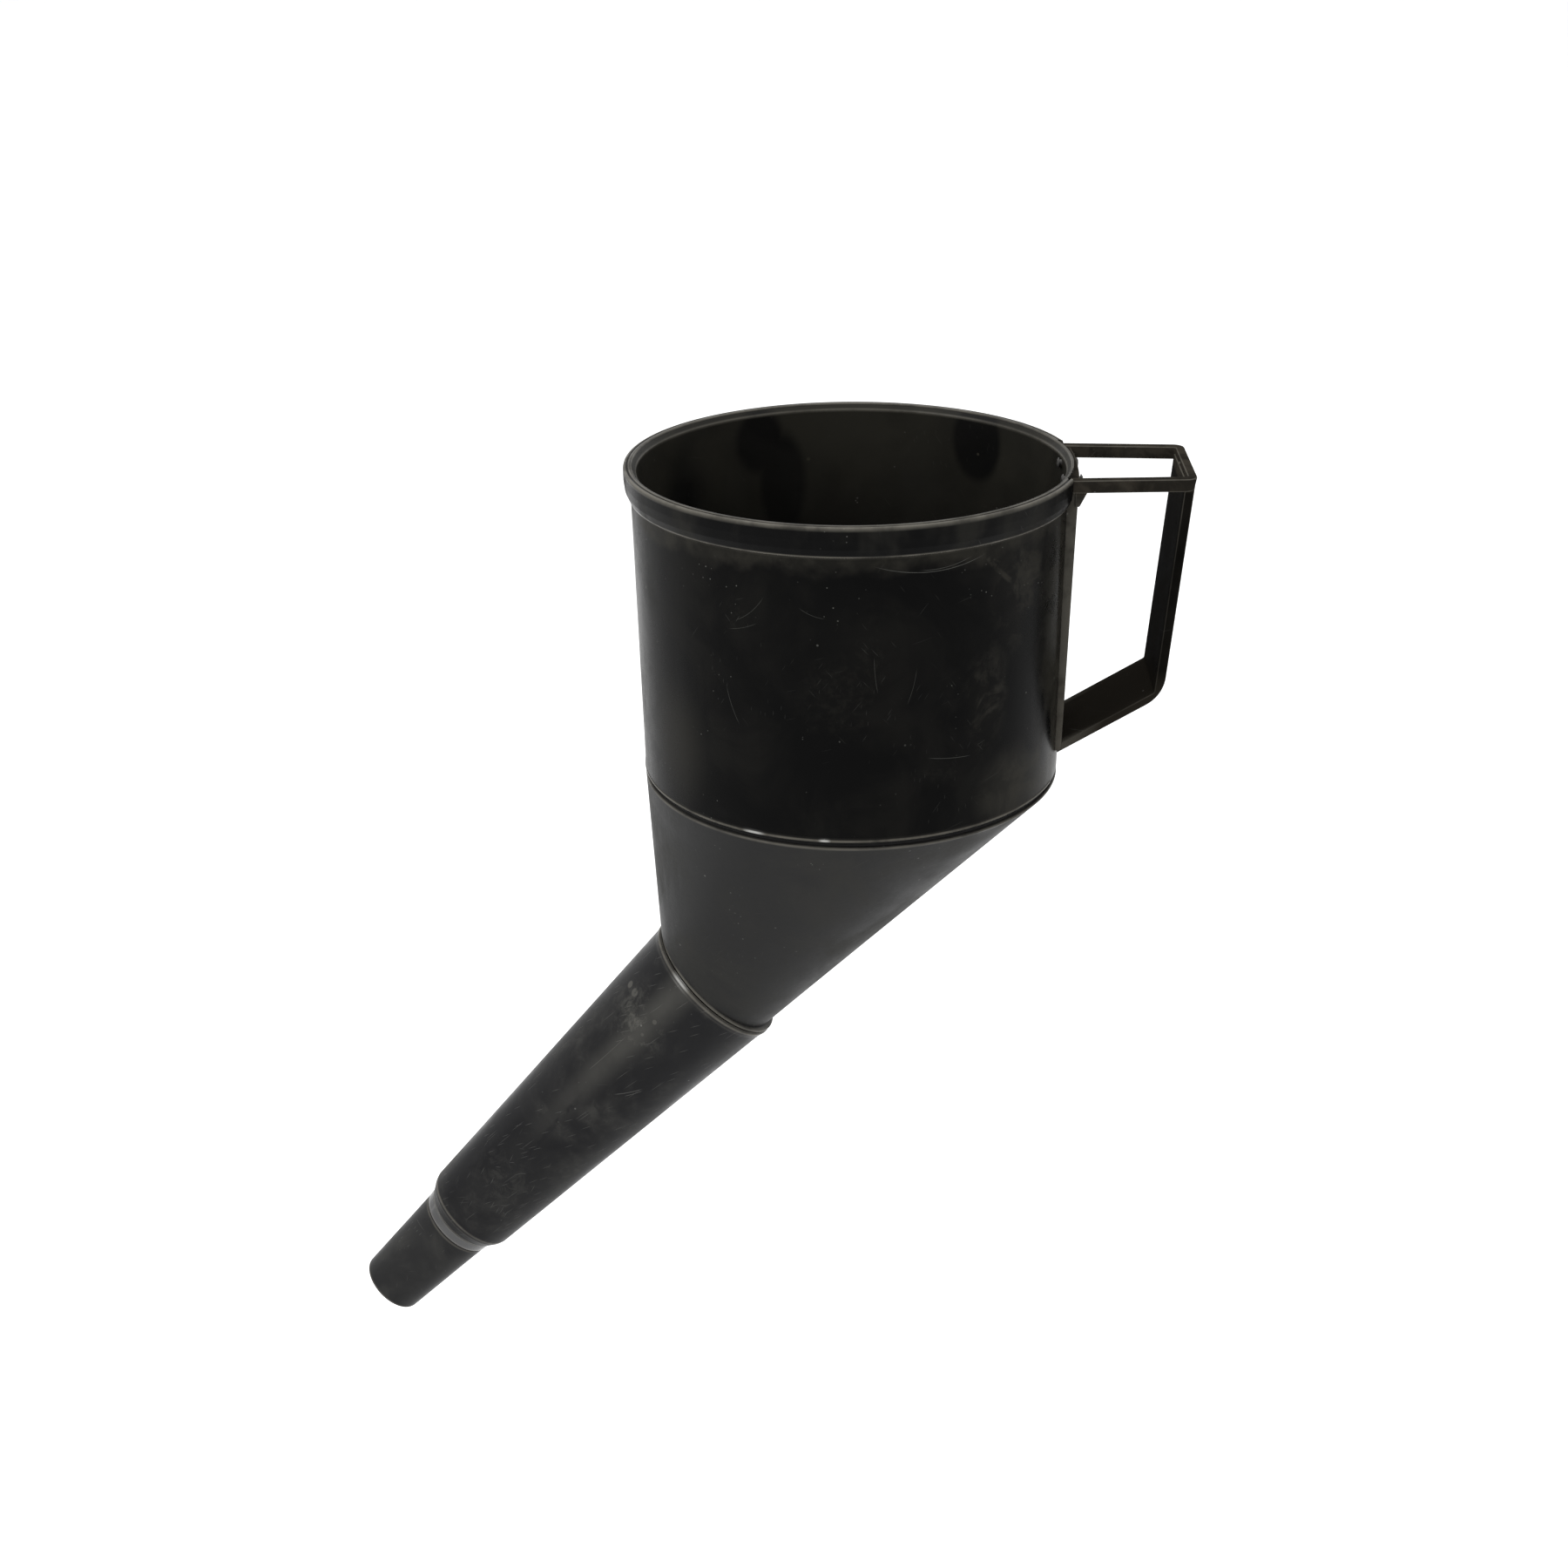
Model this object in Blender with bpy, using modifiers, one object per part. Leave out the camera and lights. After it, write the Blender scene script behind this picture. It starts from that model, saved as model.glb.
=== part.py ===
"""Fuel funnel with an offset spout: straight-sided bowl, oblique cone, push-on
spout tube with nozzle, strap handle and lift-out strainer.  Metres, +Z up.
The origin is in the middle of the handle's grip strap."""
import bpy
import bmesh
from math import cos, sin, pi, radians, sqrt
from mathutils import Vector

MM = 0.001

# ---- driving dimensions (mm); heights are measured down from the rim --------
RIM_R = 80.0            # outer radius of the rim band
RIM_FLAT_IN = 77.2      # inner edge of the rim's flat top
BAND_H = 10.8           # height of the rim band
BAND_FOOT_R = 78.2      # radius of the band's lower corner
WALL_TOP_R = 77.66      # bowl wall, outside, just under the band
WALL_BOT_R = 75.9       # bowl wall, outside, at the seam
BORE_TOP_R = 75.4       # bowl wall, inside, under the rim's bevel
BORE_BOT_R = 73.9       # bowl wall, inside, at the seam
BOWL_H = 113.45         # rim to the bowl's bottom edge
SEAM_Z = -115.6         # cone's shoulder
LEDGE_Z = -104.0        # top of the cone's spigot, where the strainer rests
SPIGOT_R = 73.55        # cone's spigot inside the bowl
SPIGOT_IN = 71.7

SPOUT_DIP = 46.66       # spout axis below the horizontal, degrees
LIP_X, LIP_Z = -52.47, -207.07   # where the spout axis meets the tube's lip
NECK_R = 28.3           # cone's lower end
NECK_SHIFT = 1.7        # its centre's offset from the spout axis, towards -X
BEAD_R = 28.7
NECK_PLUG = 22.0        # length of the neck inside the spout tube
SPOUT_R0, SPOUT_R1 = 28.5, 19.2  # spout tube, outside
SPOUT_LEN = 148.0       # lip to the end shoulder
SHOULDER = 5.4
WALL = 2.0
SOCKET_R = 16.1         # bore at the tube's end, which takes the nozzle
SOCKET_L = 20.0
NOZ_START = 153.7       # collar's upper edge, along the spout axis
COLLAR_L = 4.3
NOZ_R0, NOZ_R1 = 15.75, 13.0
NOZ_END = 201.0
NOZ_PLUG = 17.0
NOZ_WALL = 1.8

FRAME_TOP = -1.0        # handle frame's top face
FRAME_H = 4.5
FRAME_W0, FRAME_W1 = 48.3, 44.2  # over the arms at the bowl and at the end
FRAME_END = 118.8
ARM_T = 3.8
END_T = 3.2
STRAP_W = 36.0
STRAP_T = 3.4
STRAP_X0 = 118.756       # strap's outer face at rim height
STRAP_LEAN = 0.086      # inward lean of the strap per unit of height
LOW_SLOPE = 0.602       # slope of the lower arm
LOW_FOOT = -90.0         # height of the lower arm's underside at 98.6 mm from the axis
LOW_T = 2.77
BEND_R = 13.5
BEND_IN_R = 1.2
PAD_TOP, PAD_BOT = -1.6, -103.6
PAD_W0, PAD_W1 = 46.0, 36.0
PAD_BULGE = 1.2
GAP = 0.3               # running gap between neighbouring pieces

GRIP_Z = -42.0
GRIP_X = STRAP_X0 + STRAP_LEAN * GRIP_Z - STRAP_T / 2

SEG_BIG = 64
SEG_MID = 44

for ob in list(bpy.data.objects):
    bpy.data.objects.remove(ob, do_unlink=True)


def collection(name):
    c = bpy.data.collections.new(name)
    bpy.context.scene.collection.children.link(c)
    return c


PARTS = collection("offset_spout_funnel")
TOOLS = collection("cutters")


def material(name, rgb, rough, metal=0.0):
    m = bpy.data.materials.new(name)
    m.use_nodes = True
    b = m.node_tree.nodes["Principled BSDF"]
    b.inputs["Base Color"].default_value = (*rgb, 1.0)
    b.inputs["Roughness"].default_value = rough
    b.inputs["Metallic"].default_value = metal
    return m


def empty(name, parent=None, loc=(0, 0, 0), rot=(0, 0, 0)):
    e = bpy.data.objects.new(name, None)
    e.empty_display_size = 0.02
    PARTS.objects.link(e)
    e.parent = parent
    e.location = [v * MM for v in loc]
    e.rotation_euler = rot
    return e


def put(name, mesh, parent, mat=None, coll=PARTS, loc=(0, 0, 0), rot=(0, 0, 0)):
    ob = bpy.data.objects.new(name, mesh)
    coll.objects.link(ob)
    ob.parent = parent
    ob.location = [v * MM for v in loc]
    ob.rotation_euler = rot
    if mat:
        mesh.materials.append(mat)
    if coll is TOOLS:
        ob.hide_render = True
        ob.display_type = "WIRE"
    return ob


def mesh_from(name, bm):
    me = bpy.data.meshes.new(name)
    bm.to_mesh(me)
    bm.free()
    return me


def shade(me, angle=30.0):
    me.shade_smooth()
    me.set_sharp_from_angle(angle=radians(angle))


def turned(name, profile, parent, mat, steps=SEG_BIG, coll=PARTS, loc=(0, 0, 0), rot=(0, 0, 0)):
    """Closed (radius, height) profile, outer side first and downwards, turned about Z."""
    bm = bmesh.new()
    vs = [bm.verts.new((r * MM, 0, z * MM)) for r, z in profile]
    for i, v in enumerate(vs):
        bm.edges.new((v, vs[(i + 1) % len(vs)]))
    me = mesh_from(name, bm)
    ob = put(name, me, parent, mat, coll, loc, rot)
    sc = ob.modifiers.new("turn", "SCREW")
    sc.axis = "Z"
    sc.angle = 2 * pi
    sc.steps = steps
    sc.render_steps = steps
    sc.use_merge_vertices = True
    sc.merge_threshold = 0.00001
    sc.use_smooth_shade = True
    return ob


def boolean(ob, other, op):
    b = ob.modifiers.new(op.lower() + "_" + other.name, "BOOLEAN")
    b.operation = op
    b.solver = "EXACT"
    b.object = other
    return b


def loft(name, rings, parent, mat, coll=PARTS):
    """Closed skin through rings of equal point counts; the last ring joins the first."""
    bm = bmesh.new()
    rows = [[bm.verts.new([c * MM for c in p]) for p in ring] for ring in rings]
    n = len(rows[0])
    for a, b in zip(rows, rows[1:] + rows[:1]):
        for i in range(n):
            j = (i + 1) % n
            bm.faces.new((a[i], b[i], b[j], a[j]))
    bmesh.ops.triangulate(bm, faces=bm.faces[:])
    bmesh.ops.recalc_face_normals(bm, faces=bm.faces[:])
    me = mesh_from(name, bm)
    shade(me)
    return put(name, me, parent, mat, coll)


# ---- materials --------------------------------------------------------------
BLACK = material("black_plastic", (0.012, 0.012, 0.012), 0.38)
CONE_GREY = material("cone_plastic", (0.030, 0.030, 0.031), 0.5)
SPOUT_GREY = material("spout_plastic", (0.024, 0.024, 0.025), 0.45)
GLOSS = material("collar_plastic", (0.05, 0.05, 0.05), 0.25)
RUBBER = material("seal_rubber", (0.010, 0.010, 0.010), 0.8)
BRASS = material("strainer_brass", (0.55, 0.40, 0.16), 0.35, 1.0)
STEEL = material("rivet_steel", (0.45, 0.45, 0.45), 0.35, 1.0)

# ---- frames: rim centre, then the spout axis --------------------------------
RIM = empty("rim_centre", None, (-GRIP_X, 0, -GRIP_Z))
TILT = radians(90.0 - SPOUT_DIP)
SPOUT = empty("spout_axis", RIM, (LIP_X, 0, LIP_Z), (0, TILT, 0))
NOZZLE = empty("nozzle_axis", SPOUT, (0, 0, -NOZ_START))
STRAINER = empty("strainer_axis", RIM, (0, 0, LEDGE_Z))

D = Vector((-cos(radians(SPOUT_DIP)), 0, -sin(radians(SPOUT_DIP))))   # spout direction
ACROSS = Vector((-D.z, 0, D.x))                                      # square to it, towards +X
LIP = Vector((LIP_X, 0, LIP_Z))


def flat_ring(r, z, cx=0.0, n=SEG_BIG):
    return [Vector((cx + r * cos(2 * pi * i / n), r * sin(2 * pi * i / n), z)) for i in range(n)]


def neck_ring(s, r, shift=0.0, n=SEG_BIG):
    c = LIP + D * s - ACROSS * shift
    return [c + ACROSS * (r * cos(2 * pi * i / n)) + Vector((0, r * sin(2 * pi * i / n), 0))
            for i in range(n)]


def between(a, b, count):
    return [[p.lerp(q, k / (count + 1)) for p, q in zip(a, b)] for k in range(1, count + 1)]


def wall_r(z):
    return WALL_TOP_R + (WALL_BOT_R - WALL_TOP_R) * (-z - BAND_H) / (BOWL_H - BAND_H)


def bore_r(z):
    return BORE_TOP_R + (BORE_BOT_R - BORE_TOP_R) * (-z - 2.2) / (BOWL_H - 2.2)


def disc(name, r1, r2, z1, z2, n=SEG_BIG, cx=0.0):
    bm = bmesh.new()
    bmesh.ops.create_cone(bm, cap_ends=True, segments=n, radius1=r1 * MM, radius2=r2 * MM,
                          depth=(z2 - z1) * MM)
    bmesh.ops.translate(bm, verts=bm.verts, vec=(cx * MM, 0, (z1 + z2) / 2 * MM))
    return mesh_from(name, bm)


def block(name, lo, hi):
    bm = bmesh.new()
    bmesh.ops.create_cube(bm, size=1.0)
    bmesh.ops.scale(bm, verts=bm.verts, vec=[(b - a) * MM for a, b in zip(lo, hi)])
    bmesh.ops.translate(bm, verts=bm.verts, vec=[(a + b) / 2 * MM for a, b in zip(lo, hi)])
    return mesh_from(name, bm)


# ---- bowl -------------------------------------------------------------------
RIVET_Y, RIVET_Z = 10.5, -4.6
RIVET_R = 1.3


def rivet_hole(sign):
    me = disc("rivet_hole", RIVET_R + GAP, RIVET_R + GAP, -8, 8, 16)
    return put("rivet_hole_%s" % ("far" if sign > 0 else "near"), me, RIM, None, TOOLS,
               (77.0, sign * RIVET_Y, RIVET_Z), (0, pi / 2, 0))


def make_bowl():
    prof = [(79.4, 0), (80.0, -0.6), (RIM_R, -4.6), (79.6, -7.8), (BAND_FOOT_R, -BAND_H),
            (wall_r(-11.0), -11.0), (WALL_BOT_R, -BOWL_H + 0.4), (WALL_BOT_R - 0.4, -BOWL_H),
            (BORE_BOT_R, -BOWL_H), (BORE_TOP_R, -2.2), (RIM_FLAT_IN, 0)]
    ob = turned("bowl", prof, RIM, BLACK, 72)
    # the rim band stops at the handle's arms, so that the foot plate reaches the top
    gate = put("band_gate", block("band_gate", (60, -FRAME_W0 / 2 - GAP, -12.2),
                                  (90, FRAME_W0 / 2 + GAP, 2)), RIM, None, TOOLS)
    core = put("band_core", disc("band_core", wall_r(-13), wall_r(3) , -13, 3, 72), RIM, None, TOOLS)
    boolean(gate, core, "DIFFERENCE")
    boolean(ob, gate, "DIFFERENCE")
    for s in (-1, 1):
        boolean(ob, HOLES[s], "DIFFERENCE")
    return ob


# ---- cone -------------------------------------------------------------------
def plug_r(s):
    """Neck inside the spout tube: follows the tube's taper."""
    return SPOUT_R0 - WALL - GAP + (SPOUT_R1 - SPOUT_R0) * s / SPOUT_LEN


def make_cone():
    shoulder = flat_ring(WALL_BOT_R, SEAM_Z - 0.4)
    neck = neck_ring(-2.3, NECK_R, NECK_SHIFT)
    in_top = flat_ring(71.8, -118.0, -1.2)
    in_neck = neck_ring(-2.8, plug_r(0) - 1.9, 0.8)
    rings = [flat_ring(SPIGOT_R, LEDGE_Z), flat_ring(SPIGOT_R, SEAM_Z),
             flat_ring(WALL_BOT_R - 0.4, SEAM_Z), shoulder]
    rings += between(shoulder, neck, 4)
    rings += [neck, neck_ring(-1.9, BEAD_R), neck_ring(-1.1, BEAD_R), neck_ring(-0.9, plug_r(-0.9)),
              neck_ring(10.0, plug_r(10)), neck_ring(10.2, plug_r(10) - 1.1),
              neck_ring(12.4, plug_r(12.4) - 1.0), neck_ring(12.6, plug_r(12.6)),
              neck_ring(NECK_PLUG - 1, plug_r(NECK_PLUG - 1)), neck_ring(NECK_PLUG, plug_r(NECK_PLUG) - 0.8),
              neck_ring(NECK_PLUG, plug_r(NECK_PLUG) - 2.2), neck_ring(1.0, plug_r(0) - 2.2), in_neck]
    rings += between(in_neck, in_top, 4)
    rings += [in_top, flat_ring(SPIGOT_IN, LEDGE_Z)]
    return loft("cone", rings, RIM, CONE_GREY)


def ring_of(name, r_mid, z_mid, r_sec, parent, mat, n, sides=10):
    prof = [(r_mid + r_sec * cos(-2 * pi * i / sides), z_mid + r_sec * sin(-2 * pi * i / sides))
            for i in range(sides)]
    return turned(name, prof, parent, mat, n)


# ---- handle -----------------------------------------------------------------
def outline(name, points, depth, parent, rot=(0, 0, 0), loc=(0, 0, 0)):
    """Flat closed outline in its own XY, given thickness both ways along Z."""
    cu = bpy.data.curves.new(name, "CURVE")
    cu.dimensions = "2D"
    cu.fill_mode = "BOTH"
    cu.extrude = depth / 2 * MM
    sp = cu.splines.new("POLY")
    sp.points.add(len(points) - 1)
    for p, (x, y) in zip(sp.points, points):
        p.co = (x * MM, y * MM, 0, 1)
    sp.use_cyclic_u = True
    ob = bpy.data.objects.new(name, cu)
    TOOLS.objects.link(ob)
    ob.parent = parent
    ob.location = [v * MM for v in loc]
    ob.rotation_euler = rot
    bpy.context.view_layer.update()
    me = bpy.data.meshes.new_from_object(ob.evaluated_get(bpy.context.evaluated_depsgraph_get()))
    bm = bmesh.new()
    bm.from_mesh(me)
    bmesh.ops.remove_doubles(bm, verts=bm.verts, dist=0.00001)
    bmesh.ops.recalc_face_normals(bm, faces=bm.faces[:])
    bm.to_mesh(me)
    bm.free()
    bpy.data.objects.remove(ob, do_unlink=True)
    me.name = name
    return put(name, me, parent, None, TOOLS, loc, rot)


def fillet(a, b, c, r, n=5):
    """Points of the arc of radius r that rounds the corner b between a and c."""
    a, b, c = Vector(a), Vector(b), Vector(c)
    u, v = (a - b).normalized(), (c - b).normalized()
    half = u.angle(v) / 2
    t = r * cos(half) / sin(half)
    centre = b + (u + v).normalized() * (r / sin(half))
    p, q = b + u * t - centre, b + v * t - centre
    full = p.angle(q)
    out = []
    for i in range(n + 1):
        k = i / n
        w = (p * sin((1 - k) * full) + q * sin(k * full)) / sin(full)
        out.append(tuple(centre + w))
    return out


def make_handle():
    root = 70.0
    yo0, yo1 = FRAME_W0 / 2, FRAME_W1 / 2
    k = (yo1 - yo0) / (FRAME_END - 76.0)
    yr = yo0 + k * (root - 76.0)
    far_in = FRAME_END - END_T
    yi = yo0 - ARM_T + k * (far_in - 76.0)
    pts = [(root, -yr)] + fillet((root, -yr), (FRAME_END, -yo1), (FRAME_END, yo1), 4.0)
    pts += fillet((FRAME_END, -yo1), (FRAME_END, yo1), (root, yr), 4.0) + [(root, yr)]
    pts += [(root, yr - ARM_T), (far_in, yi), (far_in, -yi), (root, -yr + ARM_T)]
    frame = outline("handle_frame", pts, FRAME_H, RIM, (0, 0, 0), (0, 0, FRAME_TOP - FRAME_H / 2))

    # strap and lower arm: outline in the symmetry plane (x across, height up)
    def strap_x(z):
        return STRAP_X0 + STRAP_LEAN * z
    corner_z = (LOW_FOOT + LOW_SLOPE * (STRAP_X0 - 98.6)) / (1 - LOW_SLOPE * STRAP_LEAN)
    corner = (strap_x(corner_z), corner_z)
    foot = (72.0, LOW_FOOT + LOW_SLOPE * (72.0 - 98.6))
    top = (strap_x(-3.0), -3.0)
    low_n = LOW_T / cos(0.542)
    ic_z = (LOW_FOOT + low_n + LOW_SLOPE * (STRAP_X0 - STRAP_T - 98.6)) / (1 - LOW_SLOPE * STRAP_LEAN)
    ic = (strap_x(ic_z) - STRAP_T, ic_z)
    ifoot = (72.0, foot[1] + low_n)
    itop = (top[0] - STRAP_T, top[1])
    pts = [top] + fillet(top, corner, foot, BEND_R, 7) + [foot, ifoot]
    pts += fillet(ifoot, ic, itop, BEND_IN_R, 3) + [itop]
    strap = outline("handle_strap", pts, STRAP_W, RIM, (pi / 2, 0, 0))

    # foot plate: gently crowned, narrower at the bottom
    def section(z, w, edge_x):
        ys = [w / 2 * (i / 4 - 1) for i in range(9)]
        return ([Vector((edge_x + PAD_BULGE * (1 - (2 * y / w) ** 2), y, z)) for y in ys]
                + [Vector((68.0, w / 2, z)), Vector((68.0, -w / 2, z))])
    bm = bmesh.new()
    rows = [[bm.verts.new([c * MM for c in p]) for p in section(z, w, x)]
            for z, w, x in ((PAD_TOP, PAD_W0, 78.2), (PAD_BOT, PAD_W1, 76.05))]
    n = len(rows[0])
    for i in range(n):
        j = (i + 1) % n
        bm.faces.new((rows[0][i], rows[1][i], rows[1][j], rows[0][j]))
    bm.faces.new(rows[0])
    bm.faces.new(list(reversed(rows[1])))
    bmesh.ops.recalc_face_normals(bm, faces=bm.faces[:])
    me = mesh_from("handle", bm)
    ob = put("handle", me, RIM, BLACK)
    boolean(ob, strap, "UNION")
    boolean(ob, frame, "UNION")
    # hollow face that follows the bowl wall
    wall = put("wall_room", disc("wall_room", wall_r(-130) + GAP, wall_r(10) + GAP, -130, 10, 72),
               RIM, None, TOOLS)
    boolean(ob, wall, "DIFFERENCE")
    for s in (-1, 1):
        boolean(ob, HOLES[s], "DIFFERENCE")
    return ob


def make_rivet(name, sign):
    """Stem through the wall and the foot plate with a head at each end; local +Z points out."""
    inner = sqrt(bore_r(RIVET_Z) ** 2 - (RIVET_Y + 2.5) ** 2)
    outer = 78.15 + PAD_BULGE
    x0 = 77.0
    hi, lo = outer + GAP - x0, inner - GAP - x0
    prof = [(1.4, hi + 0.9), (2.3, hi + 0.4), (2.3, hi), (RIVET_R, hi), (RIVET_R, lo),
            (2.3, lo), (2.3, lo - 0.5), (1.4, lo - 1.0)]
    # close on the axis with small end discs
    prof = [(0.0001, hi + 0.9)] + prof + [(0.0001, lo - 1.0)]
    bm = bmesh.new()
    n = 16
    rows = [[bm.verts.new((r * MM * cos(2 * pi * i / n), r * MM * sin(2 * pi * i / n), z * MM))
             for i in range(n)] for r, z in prof[1:-1]]
    for a, b in zip(rows, rows[1:]):
        for i in range(n):
            j = (i + 1) % n
            bm.faces.new((a[i], b[i], b[j], a[j]))
    bm.faces.new(rows[0])
    bm.faces.new(list(reversed(rows[-1])))
    bmesh.ops.recalc_face_normals(bm, faces=bm.faces[:])
    me = mesh_from(name, bm)
    shade(me)
    return put(name, me, RIM, STEEL, PARTS, (x0, sign * RIVET_Y, RIVET_Z), (0, pi / 2, 0))


# ---- spout tube and nozzle (heights run back up the spout axis) -------------
def spout_r(s):
    return SPOUT_R0 + (SPOUT_R1 - SPOUT_R0) * s / SPOUT_LEN


def make_spout():
    e = SPOUT_LEN + SHOULDER
    prof = [(spout_r(0) - 0.3, 0.5), (spout_r(0) + 0.3, 0.2), (spout_r(0) + 0.5, -0.6),
            (spout_r(2) + 0.05, -2.0), (spout_r(SPOUT_LEN), -SPOUT_LEN),
            (18.6, -SPOUT_LEN - 1.6), (17.4, -SPOUT_LEN - 3.7), (16.5, -e), (SOCKET_R, -e),
            (SOCKET_R, -e + SOCKET_L), (spout_r(e - SOCKET_L - 2) - WALL, -e + SOCKET_L + 2),
            (spout_r(0) - WALL, 0.0), (spout_r(0) - WALL + 0.4, 0.5)]
    return turned("spout_tube", prof, SPOUT, SPOUT_GREY, 56)


def noz_r(s):
    return NOZ_R0 + (NOZ_R1 - NOZ_R0) * (s - NOZ_START) / (NOZ_END - NOZ_START)


def make_nozzle():
    a, b = NOZ_START, NOZ_START + COLLAR_L

    def h(s):
        return a - s
    plug = SOCKET_R - GAP
    g = a - 9.0
    prof = [(plug - 0.6, h(a - NOZ_PLUG)), (plug, h(a - NOZ_PLUG + 0.8)), (plug, h(g)),
            (plug - 1.0, h(g + 0.15)), (plug - 1.0, h(g + 2.25)), (plug, h(g + 2.4)),
            (plug, h(a - 0.5)), (14.7, h(a - 0.3)), (14.7, h(b + 0.15)), (noz_r(b) - 0.2, h(b + 0.3)),
            (noz_r(b + 0.8), h(b + 0.8)), (NOZ_R1, h(NOZ_END - 0.5)), (NOZ_R1 - 0.4, h(NOZ_END)),
            (NOZ_R1 - NOZ_WALL + 0.2, h(NOZ_END)), (NOZ_R1 - NOZ_WALL, h(NOZ_END - 0.4)),
            (12.9, h(b)), (12.9, h(a - NOZ_PLUG))]
    return turned("nozzle", prof, NOZZLE, SPOUT_GREY, SEG_MID)


def make_collar():
    a, b = NOZ_START, NOZ_START + COLLAR_L
    prof = [(noz_r(a) - 0.1, -0.1), (noz_r(a) + 0.25, -0.7), (noz_r(b) + 0.25, -COLLAR_L + 0.7),
            (noz_r(b) - 0.1, -COLLAR_L + 0.1), (15.0, -COLLAR_L + 0.1), (15.0, -0.1)]
    return turned("nozzle_collar", prof, NOZZLE, GLOSS, SEG_MID)


# ---- strainer (heights from the ledge) --------------------------------------
def make_strainer():
    turned("strainer_frame", [(73.0, 1.8), (73.2, 1.6), (73.2, GAP), (71.2, GAP), (71.2, -4.0),
                              (70.9, -4.3), (69.6, -4.3), (69.2, -3.9), (69.2, 1.8)], STRAINER, BRASS)
    put("strainer_gauze", disc("strainer_gauze", 72.4, 72.4, 2.1, 2.6, 48), STRAINER, BRASS)
    turned("strainer_clamp_ring", [(73.0, 4.4), (73.2, 4.2), (73.2, 2.9), (69.2, 2.9), (69.2, 4.0),
                                   (69.6, 4.4)], STRAINER, BRASS)
    cu = bpy.data.curves.new("strainer_pull_loop", "CURVE")
    cu.dimensions = "3D"
    cu.bevel_depth = 1.1 * MM
    cu.bevel_resolution = 2
    cu.use_fill_caps = True
    sp = cu.splines.new("POLY")
    foot, high, half = 4.7, 20.0, 10.0
    path = [(-half - 1.5, foot), (-half, foot + 7)]
    path += [(-half * cos(pi * i / 8), high - half + half * sin(pi * i / 8)) for i in range(9)]
    path += [(half, foot + 7), (half + 1.5, foot)]
    sp.points.add(len(path) - 1)
    for p, (y, z) in zip(sp.points, path):
        p.co = (0, y * MM, z * MM, 1)
    ob = bpy.data.objects.new("strainer_pull_loop", cu)
    PARTS.objects.link(ob)
    ob.parent = STRAINER
    ob.location = (-70.2 * MM, 0, 0)
    cu.materials.append(STEEL)


HOLES = {s: rivet_hole(s) for s in (-1, 1)}
make_bowl()
make_cone()
turned("seam_seal", [(74.7, -113.75), (74.7, -115.3), (73.85, -115.3), (73.85, -113.75)], RIM, RUBBER, 48)
make_handle()
make_rivet("rivet_near", -1)
make_rivet("rivet_far", 1)
ring_of("neck_seal", plug_r(11.3) - 0.4, -11.3, 0.6, SPOUT, RUBBER, SEG_MID)
make_spout()
make_nozzle()
make_collar()
ring_of("nozzle_seal", SOCKET_R - GAP - 0.4, 7.8, 0.55, NOZZLE, RUBBER, 36)
make_strainer()
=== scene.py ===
from math import asin, cos, pi, radians, sin, sqrt, tan

import bmesh
import bpy
from mathutils import Matrix, Vector

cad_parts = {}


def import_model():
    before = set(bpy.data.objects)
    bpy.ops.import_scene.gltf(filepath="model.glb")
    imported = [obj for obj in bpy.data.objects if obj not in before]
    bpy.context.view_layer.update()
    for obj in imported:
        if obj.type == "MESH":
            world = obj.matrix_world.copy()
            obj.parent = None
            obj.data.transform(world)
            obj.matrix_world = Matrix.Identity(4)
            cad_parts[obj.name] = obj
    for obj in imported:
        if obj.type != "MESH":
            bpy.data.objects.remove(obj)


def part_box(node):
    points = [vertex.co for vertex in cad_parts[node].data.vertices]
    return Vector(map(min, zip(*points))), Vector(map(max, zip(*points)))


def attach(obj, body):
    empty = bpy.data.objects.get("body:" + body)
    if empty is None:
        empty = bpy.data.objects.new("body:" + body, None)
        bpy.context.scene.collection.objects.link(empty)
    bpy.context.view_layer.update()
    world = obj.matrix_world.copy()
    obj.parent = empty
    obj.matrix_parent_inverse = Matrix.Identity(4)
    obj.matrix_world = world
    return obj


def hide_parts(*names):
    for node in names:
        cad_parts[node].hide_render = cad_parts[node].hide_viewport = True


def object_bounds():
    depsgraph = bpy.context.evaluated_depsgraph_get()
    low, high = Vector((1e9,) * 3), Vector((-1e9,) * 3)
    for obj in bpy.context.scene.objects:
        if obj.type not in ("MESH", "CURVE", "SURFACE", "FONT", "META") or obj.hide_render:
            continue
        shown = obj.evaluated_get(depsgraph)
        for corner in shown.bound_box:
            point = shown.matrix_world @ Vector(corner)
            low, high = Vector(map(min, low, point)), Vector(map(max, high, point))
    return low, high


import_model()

cad_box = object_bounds()

# Lengths are in mm from the centre of the rim's top, and world() gives metres in the
# CAD's frame. Angles are in radians. The spout points to -X and the handle to +X.
MM = 0.001
RIM_R = 80
bowl_low, bowl_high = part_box("bowl")
RIM = Vector((bowl_low[0] + RIM_R * MM, 0, bowl_high[2]))


def world(p):
    return RIM + Vector(p) * MM


# ---------------------------------------------------------------- mesh tools
CORNER_STEPS = 4     # segments in a rounded corner of a profile
GUARD = 0.7          # points this far from a corner keep its wear and shading in place
FRONT = 0.75         # part of a turn at which the rolled-out surface has its zero


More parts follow.
